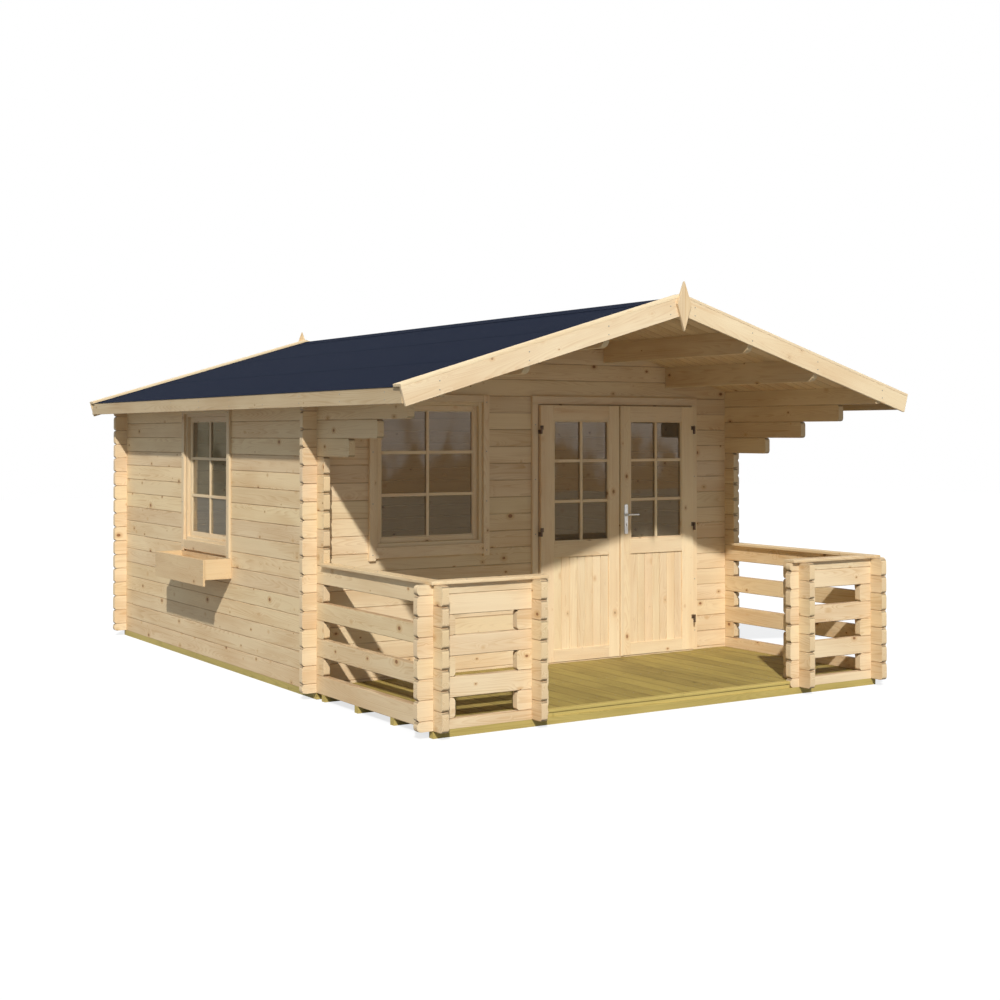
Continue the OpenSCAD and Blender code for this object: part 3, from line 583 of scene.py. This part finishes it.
nodeFinish = {
    roofUnder: ("left_roof_boards", "right_roof_boards"),
    treatedAlongX: ("cross_beams",),
    treatedAlongY: ("side_beams",),
    glass: ("left_door_glass", "right_door_glass", "front_window_glass", "side_window_glass"),
}
for material, names in nodeFinish.items():
    for name in names:
        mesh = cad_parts[name].data
        mesh.materials.clear()
        mesh.materials.append(material)
print("frame nodes finished:", sum(len(names) for names in nodeFinish.values()))


def finishScrews(screws, name):
    finishPiece(screws, name, zinc)


# The logs, the timber under the roof and the fascias keep their frame shapes, with their edges eased.
easedEdges = {"log": 0.0022, "roofTimber": 0.003, "fascia": 0.0015}


def addLogWork():
    alongSides = ("left_wall", "right_wall", "left_side_rail", "right_side_rail", "entrance_posts")
    alongFront = ("front_wall_left", "front_wall_right", "front_gable", "back_wall", "back_gable",
                  "left_front_rail", "right_front_rail")
    for material, names in ((logsAlongY, alongSides), (logsAlongX, alongFront)):
        for name in names:
            logs = softenedCopy([name], easedEdges["log"])
            finishPiece([logs], name + "_logs", material, [name])
    for name, nodes, edge, slotName, material in (
            ("roofPurlins", ["left_purlins", "right_purlins"], "roofTimber", "roof_timber", beamsAlongY),
            ("eaveBoards", ["eave_fascias"], "fascia", "spruce_boards", boardsAlongY),
            ("ridgeFinials", ["finials"], "fascia", "spruce_boards", boardsUpright)):
        finishPiece([softenedCopy(nodes, easedEdges[edge])], name, material, nodes)
    print("logs and roof timber eased")


deckMake = {
    "boards": 24, "gap": 0.005, "ribs": 9, "ribDepth": 0.0022, "notch": 0.0255, "notchDepth": 0.108,
    "postMiddle": 1.0925, "screwInset": 0.035, "screwRadius": 0.0038, "screwFront": 0.16, "screwBack": 0.14,
    "edgeThick": 0.018, "edgeSet": 0.008, "jointBand": 0.009, "jointGrimeAndShade": 1.1, "grooveGrimeAndShade": 0.5}


def addRibbedBoard(low, high):
    # A grid whose every other pair of lines is sunk, pulled down to the board's thickness.
    m = deckMake
    columns = m["ribs"] * 4 + 2
    low, high = Vector(low), Vector(high)
    middle = Vector(((low.x + high.x) / 2, (low.y + high.y) / 2, high.z))
    bpy.ops.mesh.primitive_grid_add(x_subdivisions=columns, y_subdivisions=1, size=1, location=middle)
    board = bpy.context.object
    board.scale = (high.x - low.x, high.y - low.y, 1)
    applyPlace(board)
    pitch = (high.x - low.x) / columns

    def sunkLine(point):
        number = round((point.x - low.x) / pitch)
        return number in (0, columns) or number % 4 in (3, 0)

    openAt(board, sunkLine)
    bpy.ops.transform.translate(value=(0, 0, -m["ribDepth"]))
    bpy.ops.mesh.select_all(action="SELECT")
    extrude(0, 0, low.z - high.z)
    bpy.ops.transform.resize(value=(1, 1, 0), center_override=(middle.x, middle.y, low.z))
    closeMesh()
    faceOutwards(board)
    grimeAndShade = []  # grime and painted shade gather along the joints and, less, in the grooves
    for point in board.data.vertices:
        inside = min(point.co.x - low.x, high.x - point.co.x)
        sunk = point.co.z < high.z - m["ribDepth"] / 2
        grimeAndShade.append(m["jointGrimeAndShade"] if inside < m["jointBand"] else m["grooveGrimeAndShade"] * sunk)
    storeValues(board.data, "wearGrimeAndShade", grimeAndShade)
    return board


def addDeck():
    m = deckMake
    low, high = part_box("veranda_deck")
    gap, notch, inset = m["gap"], m["notch"], m["screwInset"]
    pitch = (high.x - low.x + gap) / m["boards"]
    starts = [low.x + number * pitch for number in range(m["boards"])]
    pattern = addRibbedBoard(low, (low.x + pitch - gap, high.y, high.z))
    boards = []
    for start in starts:
        board = copyTo(pattern, (start - low.x, 0, 0))
        for post in (-m["postMiddle"], m["postMiddle"]):
            if start < post + notch and start + pitch - gap > post - notch:
                takeOut(board, addBlock((post - notch, low.y - 0.1, low.z - 0.01),
                                        (post + notch, low.y + m["notchDepth"], high.z + 0.01)))
        markGrain(board, 1, 0)
        boards.append(board)
    bpy.data.objects.remove(pattern)
    finishPiece(boards, "verandaDeckBoards", deckBoards, ["veranda_deck"])
    rows = (low.y + m["screwFront"], (low.y + high.y) / 2, high.y - m["screwBack"])
    spots = [(start + across, row, high.z - 0.0008)
             for start in starts for across in (inset, pitch - gap - inset) for row in rows]
    finishScrews(addScrews(spots, (0, 0, 1), m["screwRadius"]), "deckScrews")
    low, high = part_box("deck_edge_board")
    step = high.z - m["edgeThick"]
    parts = [addBoard((low.x, low.y, step), high, 0, 0.003, 1),
             addBoard((low.x, low.y + m["edgeSet"], low.z), (high.x, high.y, step), 0, 0.001, 1)]
    finishPiece(parts, "deckEdgeBoard", edgeTimber, ["deck_edge_board"])
    print("deck boards laid:", len(boards))


floorMake = {"boards": 36, "gap": 0.0015, "edge": 0.0015}


def addRoomFloor():
    low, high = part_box("room_floor")
    pitch = (high.x - low.x) / floorMake["boards"]
    boards = []
    for number in range(floorMake["boards"]):
        start = low.x + number * pitch
        end = start + pitch - floorMake["gap"]
        boards.append(addBoard((start, low.y, low.z), (end, high.y, high.z), 1, floorMake["edge"], 0))
    finishPiece(boards, "roomFloorBoards", floorPlanks, ["room_floor"])
    print("floor boards laid:", len(boards))


handrailMake = {
    "wide": 0.100, "edge": 0.004, "mitreGap": 0.0004, "screws": 5, "screwsAcross": (0.22, 0.5, 0.76)}


def addHandrail(side):
    m = handrailMake
    name = sideWord[side] + "_handrail"
    low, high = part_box(name)
    wide, edge = m["wide"], m["edge"]
    outer = low.x if side < 0 else high.x
    inner = outer - side * wide
    run = addBoard((outer, low.y, low.z), (inner, high.y, high.z), 1, edge, 0)
    front = addBoard(low, (high.x, low.y + wide, high.z), 0, edge, 1)
    corner = Vector((outer, low.y, 0))
    across = Vector((-side, 1, 0)).normalized()
    normal = Vector((across.y, -across.x, 0)) * -side
    cutAway(run, corner - normal * m["mitreGap"], normal)
    cutAway(front, corner + normal * m["mitreGap"], -normal)
    title = "handrailBoards" + sideWord[side].title()
    finishPiece([run, front], title, planedBoards, [name])
    middle = (outer + inner) / 2
    step = (high.y - low.y - 0.2) / (m["screws"] - 1)
    return [(middle, low.y + 0.12 + number * step, high.z) for number in range(m["screws"])] + [
        (middle - side * share, low.y + wide / 2, high.z) for share in m["screwsAcross"]]


bargeMake = {
    "deep": 0.115, "thick": 0.020, "capWide": 0.090, "capThick": 0.018, "edge": 0.0025, "joint": 0.0003,
    "pastRidge": 0.2, "twinShift": 7.3, "screwAt": (0.10, 0.59, 1.18, 1.80), "screwDown": (0.035, 0.085)}


def addBargeboards(name, facing):
    # Boards down both slopes with caps over them: plumb cuts at the ridge, square cuts at their feet.
    m = bargeMake
    low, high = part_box(name)
    outerY = low.y if facing < 0 else high.y
    capRidge = high.z - m["capThick"] / pitchCos
    bargeReach = high.x - m["capThick"] * math.sin(roofPitch)
    boards = []
    for top, reach, deep, thick in ((capRidge - m["joint"], bargeReach, m["deep"], m["thick"]),
                                    (high.z, high.x, m["capThick"], m["capWide"])):
        for side in (1, -1):
            foot = (reach / pitchCos, outerY - facing * thick, 0)
            board = addBoard((-m["pastRidge"], outerY, -deep), foot, 0, m["edge"])
            layOnSlope(board, top, m["joint"])
            if side < 0:
                mirror(board)
                grain = board.data.attributes["grain"].data
                grain.foreach_set("vector", readVectors(grain, "vector") + m["twinShift"])
            boards.append(board)
    title = "frontGableBoards" if facing < 0 else "backGableBoards"
    finishPiece(boards, title, gableBoards, [name])
    spots = [(side * x, outerY, capRidge - x * math.tan(roofPitch) - down / pitchCos)
             for side in (-1, 1) for x in m["screwAt"] for down in m["screwDown"]]
    return addScrews(spots, (0, facing, 0))


feltMake = {
    "courses": 3, "lap": 0.08, "ridgeStrip": 0.16, "capWide": 0.092, "sheet": 0.0009, "sunk": 0.003,
    "stripEdge": 0.0004, "stripLift": 0.0001}


def addFelt():
    m = feltMake
    low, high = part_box("right_roof_felt")
    slope = high.x / pitchCos
    sheet, courses = m["sheet"], m["courses"]
    for side in (1, -1):
        sheets = []
        for number in range(courses):
            # The lower end of each course rises over the next one.
            end = min(slope, slope * (number + 1) / courses + m["lap"])
            start = slope * number / courses
            course = addBlock((start, low.y, -m["sunk"]), (end, high.y, sheet - m["sunk"]))
            openAt(course, lambda point: point.x > end - 0.001)
            bpy.ops.transform.translate(value=(0, 0, sheet))
            closeMesh()
            sheets.append(course)
        sheets.append(addBoard((0, low.y + m["capWide"], m["stripLift"]),
                               (m["ridgeStrip"], high.y - m["capWide"], sheet), 1, m["stripEdge"]))
        for course in sheets:
            layOnSlope(course, high.z)
            if side < 0:
                mirror(course)
        word = sideWord[side]
        finishPiece(sheets, "feltCourses" + word.title(), felt, [word + "_roof_felt"])
    print("felt courses laid:", 2 * courses)


fasciaScrews = {"count": 10, "fromEnd": 0.2, "levels": (0.025, 0.07)}


def addRoofTrim():
    screws = addBargeboards("front_bargeboards", -1) + addBargeboards("back_bargeboards", 1)
    low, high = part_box("eave_fascias")
    count, fromEnd = fasciaScrews["count"], fasciaScrews["fromEnd"]
    step = (high.y - low.y - 2 * fromEnd) / (count - 1)
    for side, faceX in ((-1, low.x), (1, high.x)):
        spots = [(faceX, low.y + fromEnd + number * step, low.z + up)
                 for number in range(count) for up in fasciaScrews["levels"]]
        screws += addScrews(spots, (side, 0, 0))
    finishScrews(screws, "roofBoardScrews")
    finishScrews(addScrews(addHandrail(-1) + addHandrail(1), (0, 0, 1)), "handrailScrews")
    print("gable boards and handrails fitted")


doorMake = {
    "hingeStile": 0.112, "meetingStile": 0.096, "topRail": 0.110, "glassHigh": 0.885, "lockRail": 0.110,
    "footRail": 0.090, "panelBoards": 7, "panelSet": 0.009, "panelLap": 0.004, "bar": 0.022, "barOut": 0.0145,
    "bead": 0.011, "beadSet": 0.0024, "strip": 0.030, "stripLap": 0.0004, "edge": 0.0018, "barEdge": 0.0035,
    "beadEdge": 0.003, "joint": 0.0002, "crossing": 0.0003, "boardGap": 0.0013}


def addDoorLeaf(side):
    # Stiles, rails, panel boards, then beads and glazing bars on both faces, told from the meeting edge.
    m = doorMake
    word = sideWord[side]
    front, back = (corner.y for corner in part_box("left_door_leaf"))
    paneFront, paneBack = (corner.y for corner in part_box("left_door_glass"))
    low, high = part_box(word + "_door_leaf")
    foot, head = low.z, high.z
    meeting = low.x if side > 0 else high.x
    parts = []

    def board(first, last, near, far, lowZ, highZ, along, edge):
        start, end = (meeting + side * first, near, lowZ), (meeting + side * last, far, highZ)
        parts.append(addBoard(start, end, along, edge, 0 if along == 2 else 2))

    width = high.x - low.x
    inner, outer = m["meetingStile"], width - m["hingeStile"]
    glassTop = head - m["topRail"]
    glassFoot = glassTop - m["glassHigh"]
    panelTop = glassFoot - m["lockRail"]
    panelFoot = foot + m["footRail"]
    for first, last in ((0, inner - m["joint"]), (outer + m["joint"], width)):
        board(first, last, front, back, foot, head, 2, m["edge"])
    for lowZ, highZ in ((glassTop, head), (panelTop, glassFoot), (foot, panelFoot)):
        board(inner, outer, front, back, lowZ, highZ, 0, m["edge"])
    pitch = (outer - inner) / m["panelBoards"]
    for number in range(m["panelBoards"]):
        start = inner + number * pitch
        board(start + m["boardGap"], start + pitch - m["boardGap"], front + m["panelSet"],
              back - m["panelSet"], panelFoot - m["panelLap"], panelTop + m["panelLap"], 2, m["barEdge"])
    bead, half, middle = m["bead"], m["bar"] / 2, (inner + outer) / 2
    for faceY, leafY, way in ((paneFront, front, -1), (paneBack, back, 1)):
        near, far, barFar = faceY + way * m["joint"], leafY - way * m["beadSet"], faceY + way * m["barOut"]
        for first in (inner, outer - bead):
            board(first, first + bead, near, far, glassFoot, glassTop, 2, m["beadEdge"])
        for lowZ in (glassFoot, glassTop - bead):
            board(inner + bead, outer - bead, near, far, lowZ, lowZ + bead, 0, m["beadEdge"])
        board(middle - half, middle + half, near, barFar, glassFoot + bead, glassTop - bead, 2, m["barEdge"])
        near, barFar = near + way * m["crossing"], barFar - way * m["crossing"]
        for number in (1, 2):
            level = glassFoot + number * m["glassHigh"] / 3
            for first, last in ((inner + bead, middle - half), (middle + half, outer - bead)):
                board(first, last, near, barFar, level - half, level + half, 0, m["barEdge"])
    if side > 0:
        board(0, m["strip"], low.y, front + m["stripLap"], foot, head, 2, m["beadEdge"])
    body = word + "_door"
    finishPiece(parts, "doorLeaf" + word.title(), joineryBoards, [body + "_leaf"], body)


frameMake = {
    "jamb": 0.040, "threshold": 0.025, "sillEdge": 0.005, "trimWide": 0.050, "trimHead": 0.058, "edge": 0.002,
    "screws": 5, "screwIn": 0.025, "screwEnd": 0.15, "strip": 0.0048, "stripIn": 0.004}


def addPortal(low, high, foot, wide, top, edge, postWide, headWide):
    # Two posts and a head board across them.
    return [addBoard((low.x, low.y, foot), (low.x + wide, high.y, top), 2, edge, postWide),
            addBoard((high.x - wide, low.y, foot), (high.x, high.y, top), 2, edge, postWide),
            addBoard((low.x, low.y, top), high, 0, edge, headWide)]


def addDoorFrame():
    m = frameMake
    low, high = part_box("door_frame")
    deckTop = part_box("veranda_deck")[1].z
    sill = deckTop + m["threshold"]
    leafLow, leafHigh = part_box("left_door_leaf")
    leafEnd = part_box("right_door_leaf")[1].x
    parts = addPortal(low, high, sill, m["jamb"], high.z - m["jamb"], m["edge"], 1, 1)
    parts.append(addBoard(low, (high.x, high.y, sill), 0, m["sillEdge"], 1))
    parts.append(addBoard((leafLow.x + m["stripIn"], leafLow.y + 0.003, deckTop),  # strip under the leaves
                          (leafEnd - m["stripIn"], leafHigh.y + 0.001, deckTop + m["strip"]), 0, 0.001, 1))
    finishPiece(parts, "doorJambs", joineryBoards, ["door_frame"])
    low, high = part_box("door_trim")
    top = high.z - m["trimHead"]
    parts = addPortal(low, high, low.z, m["trimWide"], top, m["edge"], 0, 2)
    finishPiece(parts, "doorTrimBoards", joineryBoards, ["door_trim"])
    step = (top - low.z - 2 * m["screwEnd"]) / (m["screws"] - 1)
    spots = [(x, low.y, low.z + m["screwEnd"] + number * step)
             for x in (low.x + m["screwIn"], high.x - m["screwIn"]) for number in range(m["screws"])]
    finishScrews(addScrews(spots, (0, -1, 0)), "doorTrimScrews")
    print("door frame and trim fitted")


windowMake = {
    "lining": 0.030, "deep": 0.070, "sash": 0.035, "sashEdge": 0.004, "setback": 0.026, "bar": 0.022,
    "barThick": 0.012, "barEdge": 0.003, "glass": 0.004, "lap": 0.008, "bead": 0.008, "beadSet": 0.004,
    "beadEdge": 0.002, "edge": 0.0018, "joint": 0.0003, "trimWide": 0.050, "trimThick": 0.020,
    "trimEdge": 0.0025, "trimLap": 0.005, "trimLeg": 0.085, "trimFoot": 0.075, "screwLow": 0.045,
    "wearGrimeAndShade": 0.6, "footWeathered": 1.9}


def addWindow(place, paneWide, paneHigh):
    # Made in its own frame (foot of the opening at the origin, outer face at Y 0), then set in the wall.
    m = windowMake
    parts = []

    def board(left, right, near, far, foot, head, along, edge, wide):
        parts.append(addBoard((left, near, foot), (right, far, head), along, edge, wide))

    lining, sash, joint, bead, edge = m["lining"], m["sash"], m["joint"], m["bead"], m["edge"]
    halfPane, paneFoot, halfBar = paneWide / 2, lining + sash, m["bar"] / 2
    half, high = halfPane + paneFoot, paneHigh + 2 * paneFoot
    inner, setback = half - lining, m["setback"]
    back, beadFace, barBack = m["deep"] - 0.001, setback + m["beadSet"], setback + m["barThick"]
    for side in (-1, 1):
        for first, last, near, far, foot, rounding, wide in (
                (half, inner, 0, m["deep"], 0, edge, 1),
                (inner - joint, halfPane, setback, back, lining, m["sashEdge"], 0),
                (halfPane, halfPane - bead, beadFace, barBack, paneFoot, m["beadEdge"], 0)):
            board(side * first, side * last, near, far, foot, high - foot, 2, rounding, wide)
    for start, size, reach, near, far, rounding, wide in (
            (0, lining, inner - joint, 0, m["deep"], edge, 1),
            (lining, sash, halfPane, setback, back, m["sashEdge"], 2),
            (paneFoot, bead, halfPane - bead, beadFace, barBack, m["beadEdge"], 2)):
        for foot in (start, high - start - size):
            board(-reach, reach, near, far, foot, foot + size, 0, rounding, wide)
    for near in (setback, barBack + m["glass"]):
        far = near + m["barThick"]
        board(-halfBar, halfBar, near, far, paneFoot, high - paneFoot, 2, m["barEdge"], 0)
        for number in (1, 2):
            level = paneFoot + number * paneHigh / 3
            for side in (-1, 1):
                board(side * halfPane, side * halfBar, near + joint, far - joint, level - halfBar,
                      level + halfBar, 0, m["barEdge"], 2)
    joinery, parts = parts, []

    inner, top, face, edge = half - m["trimLap"], high - m["trimLap"], -m["trimThick"], m["trimEdge"]
    outer, head = inner + m["trimWide"], top + m["trimWide"]
    for side in (-1, 1):
        board(side * inner, side * outer, face, 0, -m["trimLeg"], head, 2, edge, 0)
    for low, up in ((top, head), (m["trimLap"] - m["trimFoot"], m["trimLap"])):
        board(joint - inner, inner - joint, face, 0, low, up, 0, edge, 2)
    levels = (-m["screwLow"], high * 0.3, high * 0.65, top)
    spots = [(side * (inner + m["trimWide"] / 2), face, z) for side in (-1, 1) for z in levels]
    screws = addScrews(spots, (0, -1, 0))
    for part in joinery + parts + screws:
        part.data.transform(place)
    return joinery, parts, screws


def addWindows():
    m = windowMake
    depth = m["setback"] + m["barThick"]
    made = ([], [], [])
    for name, turned in (("front_window_glass", False), ("side_window_glass", True)):
        low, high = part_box(name)
        size, middle = high - low, (low + high) / 2
        foot = low.z + m["lap"] - m["sash"] - m["lining"]
        if turned:
            place = Matrix.Translation((low.x - depth, middle.y, foot))
            place = place @ Matrix.Rotation(-math.pi / 2, 4, "Z")
        else:
            place = Matrix.Translation((middle.x, low.y - depth, foot))
        window = addWindow(place, (size.y if turned else size.x) - 2 * m["lap"], size.z - 2 * m["lap"])
        for part in window[0] + window[1]:
            amount = m["wearGrimeAndShade"] * (m["footWeathered"] if part is window[1][-1] else 1.0) * turned
            storeValues(part.data, "wearGrimeAndShade", [amount] * len(part.data.vertices))
        for whole, parts in zip(made, window):
            whole.extend(parts)
    finishPiece(made[0], "windowJoinery", joineryBoards, ["window_frames"])
    finishPiece(made[1], "windowTrimBoards", joineryBoards, ["window_trim"])
    finishScrews(made[2], "windowTrimScrews")
    print("windows fitted")


boxMake = {
    "board": 0.018, "frontHigh": 0.195, "endHigh": 0.149, "frontOver": 0.006, "edge": 0.0025,
    "screwDown": (0.03, 0.11)}


def addFlowerBox():
    m = boxMake
    low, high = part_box("flower_box")
    board, edge, top = m["board"], m["edge"], high.z
    start, end = low.y + m["frontOver"], high.y - m["frontOver"]
    foot, front, back = top - m["endHigh"], low.x + board, high.x - board
    parts = [addBoard((low.x, low.y, top - m["frontHigh"]), (front, high.y, top), 1, edge, 2),
             addBoard((back, start + board, foot), (high.x, end - board, top), 1, edge, 2),
             addBoard((front, start + board, foot), (back, end - board, foot + board), 1, edge, 0)]
    for first in (start, end - board):
        parts.append(addBoard((front, first, foot), (high.x, first + board, top), 0, edge, 2))
    finishPiece(parts, "flowerBoxBoards", boxBoards, ["flower_box"])
    spots = [(low.x, y, top - down) for y in (start + board / 2, end - board / 2) for down in m["screwDown"]]
    finishScrews(addScrews(spots, (-1, 0, 0)), "flowerBoxScrews")
    print("flower box made")


handleMake = {
    "barRadius": 0.008, "barSides": 20, "collarRadius": 0.011, "collarOut": 0.016, "collarSides": 28,
    "collarEdge": 0.0015, "length": 0.112, "bend": 0.014, "bendSteps": 8, "tip": 0.004, "tipShare": 0.62,
    "plateCorner": 0.008, "plateEdge": 0.0015, "keyRadius": 0.0045, "keySides": 20, "keyUp": 0.072,
    "keySlot": (0.0016, 0.014), "neckGap": 0.0006, "past": 0.002, "screwIn": 0.012, "screwRadius": 0.0035}


def addLeverBar(side, middleX, middleZ, faceY, reach):
    # A round bar: out from the leaf, bent through a quarter turn, then along the leaf.
    m = handleMake
    outY = faceY + side * (reach - m["barRadius"] - m["bend"])
    bpy.ops.mesh.primitive_circle_add(
        vertices=m["barSides"], radius=m["barRadius"], fill_type="NGON", location=(middleX, faceY, middleZ),
        rotation=(math.pi / 2, 0, 0))
    bar = bpy.context.object
    applyPlace(bar)
    openMesh()
    extrude(0, outY - faceY, 0)
    bpy.ops.mesh.spin(steps=m["bendSteps"], angle=-side * math.pi / 2, axis=(0, 0, 1),
                      center=(middleX + m["bend"], outY, middleZ))
    extrude(m["length"] - m["bend"] - m["tip"], 0, 0)
    extrude(m["tip"], 0, 0)
    bpy.ops.transform.resize(value=(m["tipShare"],) * 3)
    closeMesh()
    faceOutwards(bar)
    return bar


def addHandle():
    # The same lever, collar and lock plate on both faces of the right leaf.
    m = handleMake
    leaf, lever, lock = (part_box(name) for name in ("left_door_leaf", "door_lever", "lock_plates"))
    plateLow, plateHigh = lock
    middleX, middleZ = (plateLow.x + plateHigh.x) / 2, (lever[0].z + lever[1].z) / 2
    keyZ = plateLow.z + m["keyUp"]
    halfSlot, slotHigh = m["keySlot"]
    levers, plates, screws = [], [], []
    for side, face, reach, outer in zip((-1, 1), leaf, lever, lock):
        faceY, outerY = face.y, outer.y
        start, end = faceY + side * 0.0004, faceY + side * m["collarOut"]
        levers.append(addLeverBar(side, middleX, middleZ, start, abs(reach.y - faceY)))
        levers.append(addRod((middleX, start, middleZ), (middleX, end, middleZ), m["collarRadius"],
                             m["collarSides"], m["collarEdge"]))
        near, far = sorted((faceY + side * 0.0002, outerY))
        plate = addBlock((plateLow.x, near, plateLow.z), (plateHigh.x, far, plateHigh.z))
        roundWhere(plate, m["plateCorner"], 6, lambda first, second: abs(first.y - second.y) > 0.001)
        roundWhere(plate, m["plateEdge"], 2,
                   lambda first, second: max(abs(first.y - outerY), abs(second.y - outerY)) < 0.0001)
        near, far = near - m["past"], far + m["past"]
        for level, radius, sides in ((middleZ, m["collarRadius"] + m["neckGap"], m["collarSides"]),
                                     (keyZ, m["keyRadius"], m["keySides"])):
            takeOut(plate, addRod((middleX, near, level), (middleX, far, level), radius, sides))
        takeOut(plate, addBlock((middleX - halfSlot, near, keyZ - slotHigh), (middleX + halfSlot, far, keyZ)))
        plates.append(plate)
        spots = [(middleX, outerY - side * 0.0012, z)
                 for z in (plateLow.z + m["screwIn"], plateHigh.z - m["screwIn"])]
        screws += addScrews(spots, (0, side, 0), m["screwRadius"])
    finishPiece(levers, "leverHandles", steel, ["door_lever"], "door_lever")
    finishPiece(plates + screws, "lockPlatePair", steel, ["lock_plates"], "right_door")
    print("handle and lock plates made")


def addHinges():
    for name, node, body in (("hingeLowerHalves", "door_hinge_pins", "cabin"),
                             ("hingeUpperHalvesLeft", "left_door_hinges", "left_door"),
                             ("hingeUpperHalvesRight", "right_door_hinges", "right_door")):
        finishPiece([softenedCopy([node], 0.0006)], name, darkMetal, [node], body)
    print("hinges eased")


addLogWork()
addDeck()
addRoomFloor()
addRoofTrim()
addFelt()
for side in (-1, 1):
    addDoorLeaf(side)
addDoorFrame()
addWindows()
addFlowerBox()
addHandle()
addHinges()


stageSize = {
    "floor": 60.0, "floorTone": 0.26, "floorGlow": 0.74, "floorDown": 0.0005, "sunStrength": 3.54,
    "sunAngle": 1.5, "sunWay": (0.42, 0.66, -0.62), "ambient": 0.31}
white = (1.0, 1.0, 1.0, 1.0)
coolFill = (0.88, 1.01, 1.15, 1.0)  # the soft fill is a little cooler than the key light
groundTones = (0.85, 0.54, 0.20, 1.0), (0.22, 0.18, 0.09, 1.0)  # the floor's glow in mirror rays, in front of the cabin and behind: a painted reflection of the ground
frontView = (1.15, 0.70, 0.33, 1.0), (1.75, 1.50, 1.32, 1.0)  # trees and sky
sideView = (0.16, 0.13, 0.07, 1.0), (0.42, 0.38, 0.27, 1.0)


def addSeenRays():
    # Rays that show the pale backdrop: the eye's own, and those that metal and glass send on from it.
    path = addNode("LightPath").outputs
    sentOn = addMath("MAXIMUM", path["Is Glossy Ray"], path["Is Transmission Ray"])
    seen = addMath("MAXIMUM", path["Is Camera Ray"], sentOn)
    return times(seen, addMath("LESS_THAN", path["Diffuse Depth"], 0.5))


def addMirrorRays():
    # Rays that a perfectly smooth face, such as a pane, has turned back.
    path = addNode("LightPath").outputs
    turned = times(path["Is Glossy Ray"], path["Is Singular Ray"])
    return times(addSeenRays(), turned)


def addMirroredView():
    # What the panes mirror: a pale sky above a broken line of bare trees.
    way = addSplit(objectPlace("Generated"))
    twigs = addNoise(addStretched(way, (60.0, 60.0, 26.0)), detail=5.0, rough=0.65)
    height = timesPlus(twigs, 0.16, way[2])
    front = addMix(fade(height, 0.050, 0.085), *frontView)
    side = addMix(fade(twigs, 0.45, 0.60), *sideView)
    return addMix(fade(way[1], -0.1, 0.1), front, side)


def addStage():
    m = stageSize
    bpy.ops.mesh.primitive_plane_add(size=m["floor"], location=(0, 0, cadLow.z - m["floorDown"]))
    floor = bpy.context.object
    floor.name = "studioFloor"
    applyPlace(floor)
    material, shader = startMaterial("studioFloor")
    fillNamed(shader, {"Base Color": (m["floorTone"],) * 3 + (1,), "Roughness": 0.9})
    behind = fade(addSplit(objectPlace())[1], 1.0, 1.1)
    # The eye sees the floor glow white; mirror rays see it in the ground tones, a painted reflection.
    tone = addMix(addMirrorRays(), white, addMix(behind, *groundTones))
    glow = addNode("Emission", tone, times(addSeenRays(), m["floorGlow"]))
    both = addNode("AddShader", shader.outputs[0], glow.outputs[0])
    fill(material.node_tree.nodes["Material Output"].inputs["Surface"], both.outputs[0])
    floor.data.materials.append(material)

    turn = Vector(m["sunWay"]).to_track_quat("-Z", "Y").to_euler()
    bpy.ops.object.light_add(type="SUN", rotation=turn)
    sun = bpy.context.object
    sun.name = "keyLight"
    sun.data.energy = m["sunStrength"]
    sun.data.angle = math.radians(m["sunAngle"])

    world = bpy.data.worlds.new("studio")
    bpy.context.scene.world = world
    world.use_nodes = True
    drawing["tree"] = world.node_tree
    seen = addSeenRays()
    plain = addMix(seen, coolFill, white)
    colour = addMix(addMirrorRays(), plain, addMirroredView())
    strength = timesPlus(seen, 1.0 - m["ambient"], m["ambient"])
    fillNamed(world.node_tree.nodes["Background"], {"Color": colour, "Strength": strength})


cameraPlace = {"left": 4.396, "ahead": 8.973, "up": 1.704, "yaw": 31.91, "pitch": 0.90}
cameraLens = {"lens": 54.05, "sensor_width": 36, "shift_x": 0.0303, "shift_y": -0.0889}


def addCamera():
    m = cameraPlace
    yaw, pitch = math.radians(m["yaw"]), math.radians(m["pitch"])
    sight = Vector((math.sin(yaw) * math.cos(pitch), math.cos(yaw) * math.cos(pitch), math.sin(pitch)))
    spot = (wallFace.x - m["left"], frontFace - m["ahead"], logFoot + m["up"])
    bpy.ops.object.camera_add(location=spot, rotation=sight.to_track_quat("-Z", "Y").to_euler())
    setAll(bpy.context.object.data, cameraLens)
    bpy.context.scene.camera = bpy.context.object


addStage()
addCamera()
bpy.context.scene.view_settings.view_transform = "Standard"
print("stage, light and camera placed")
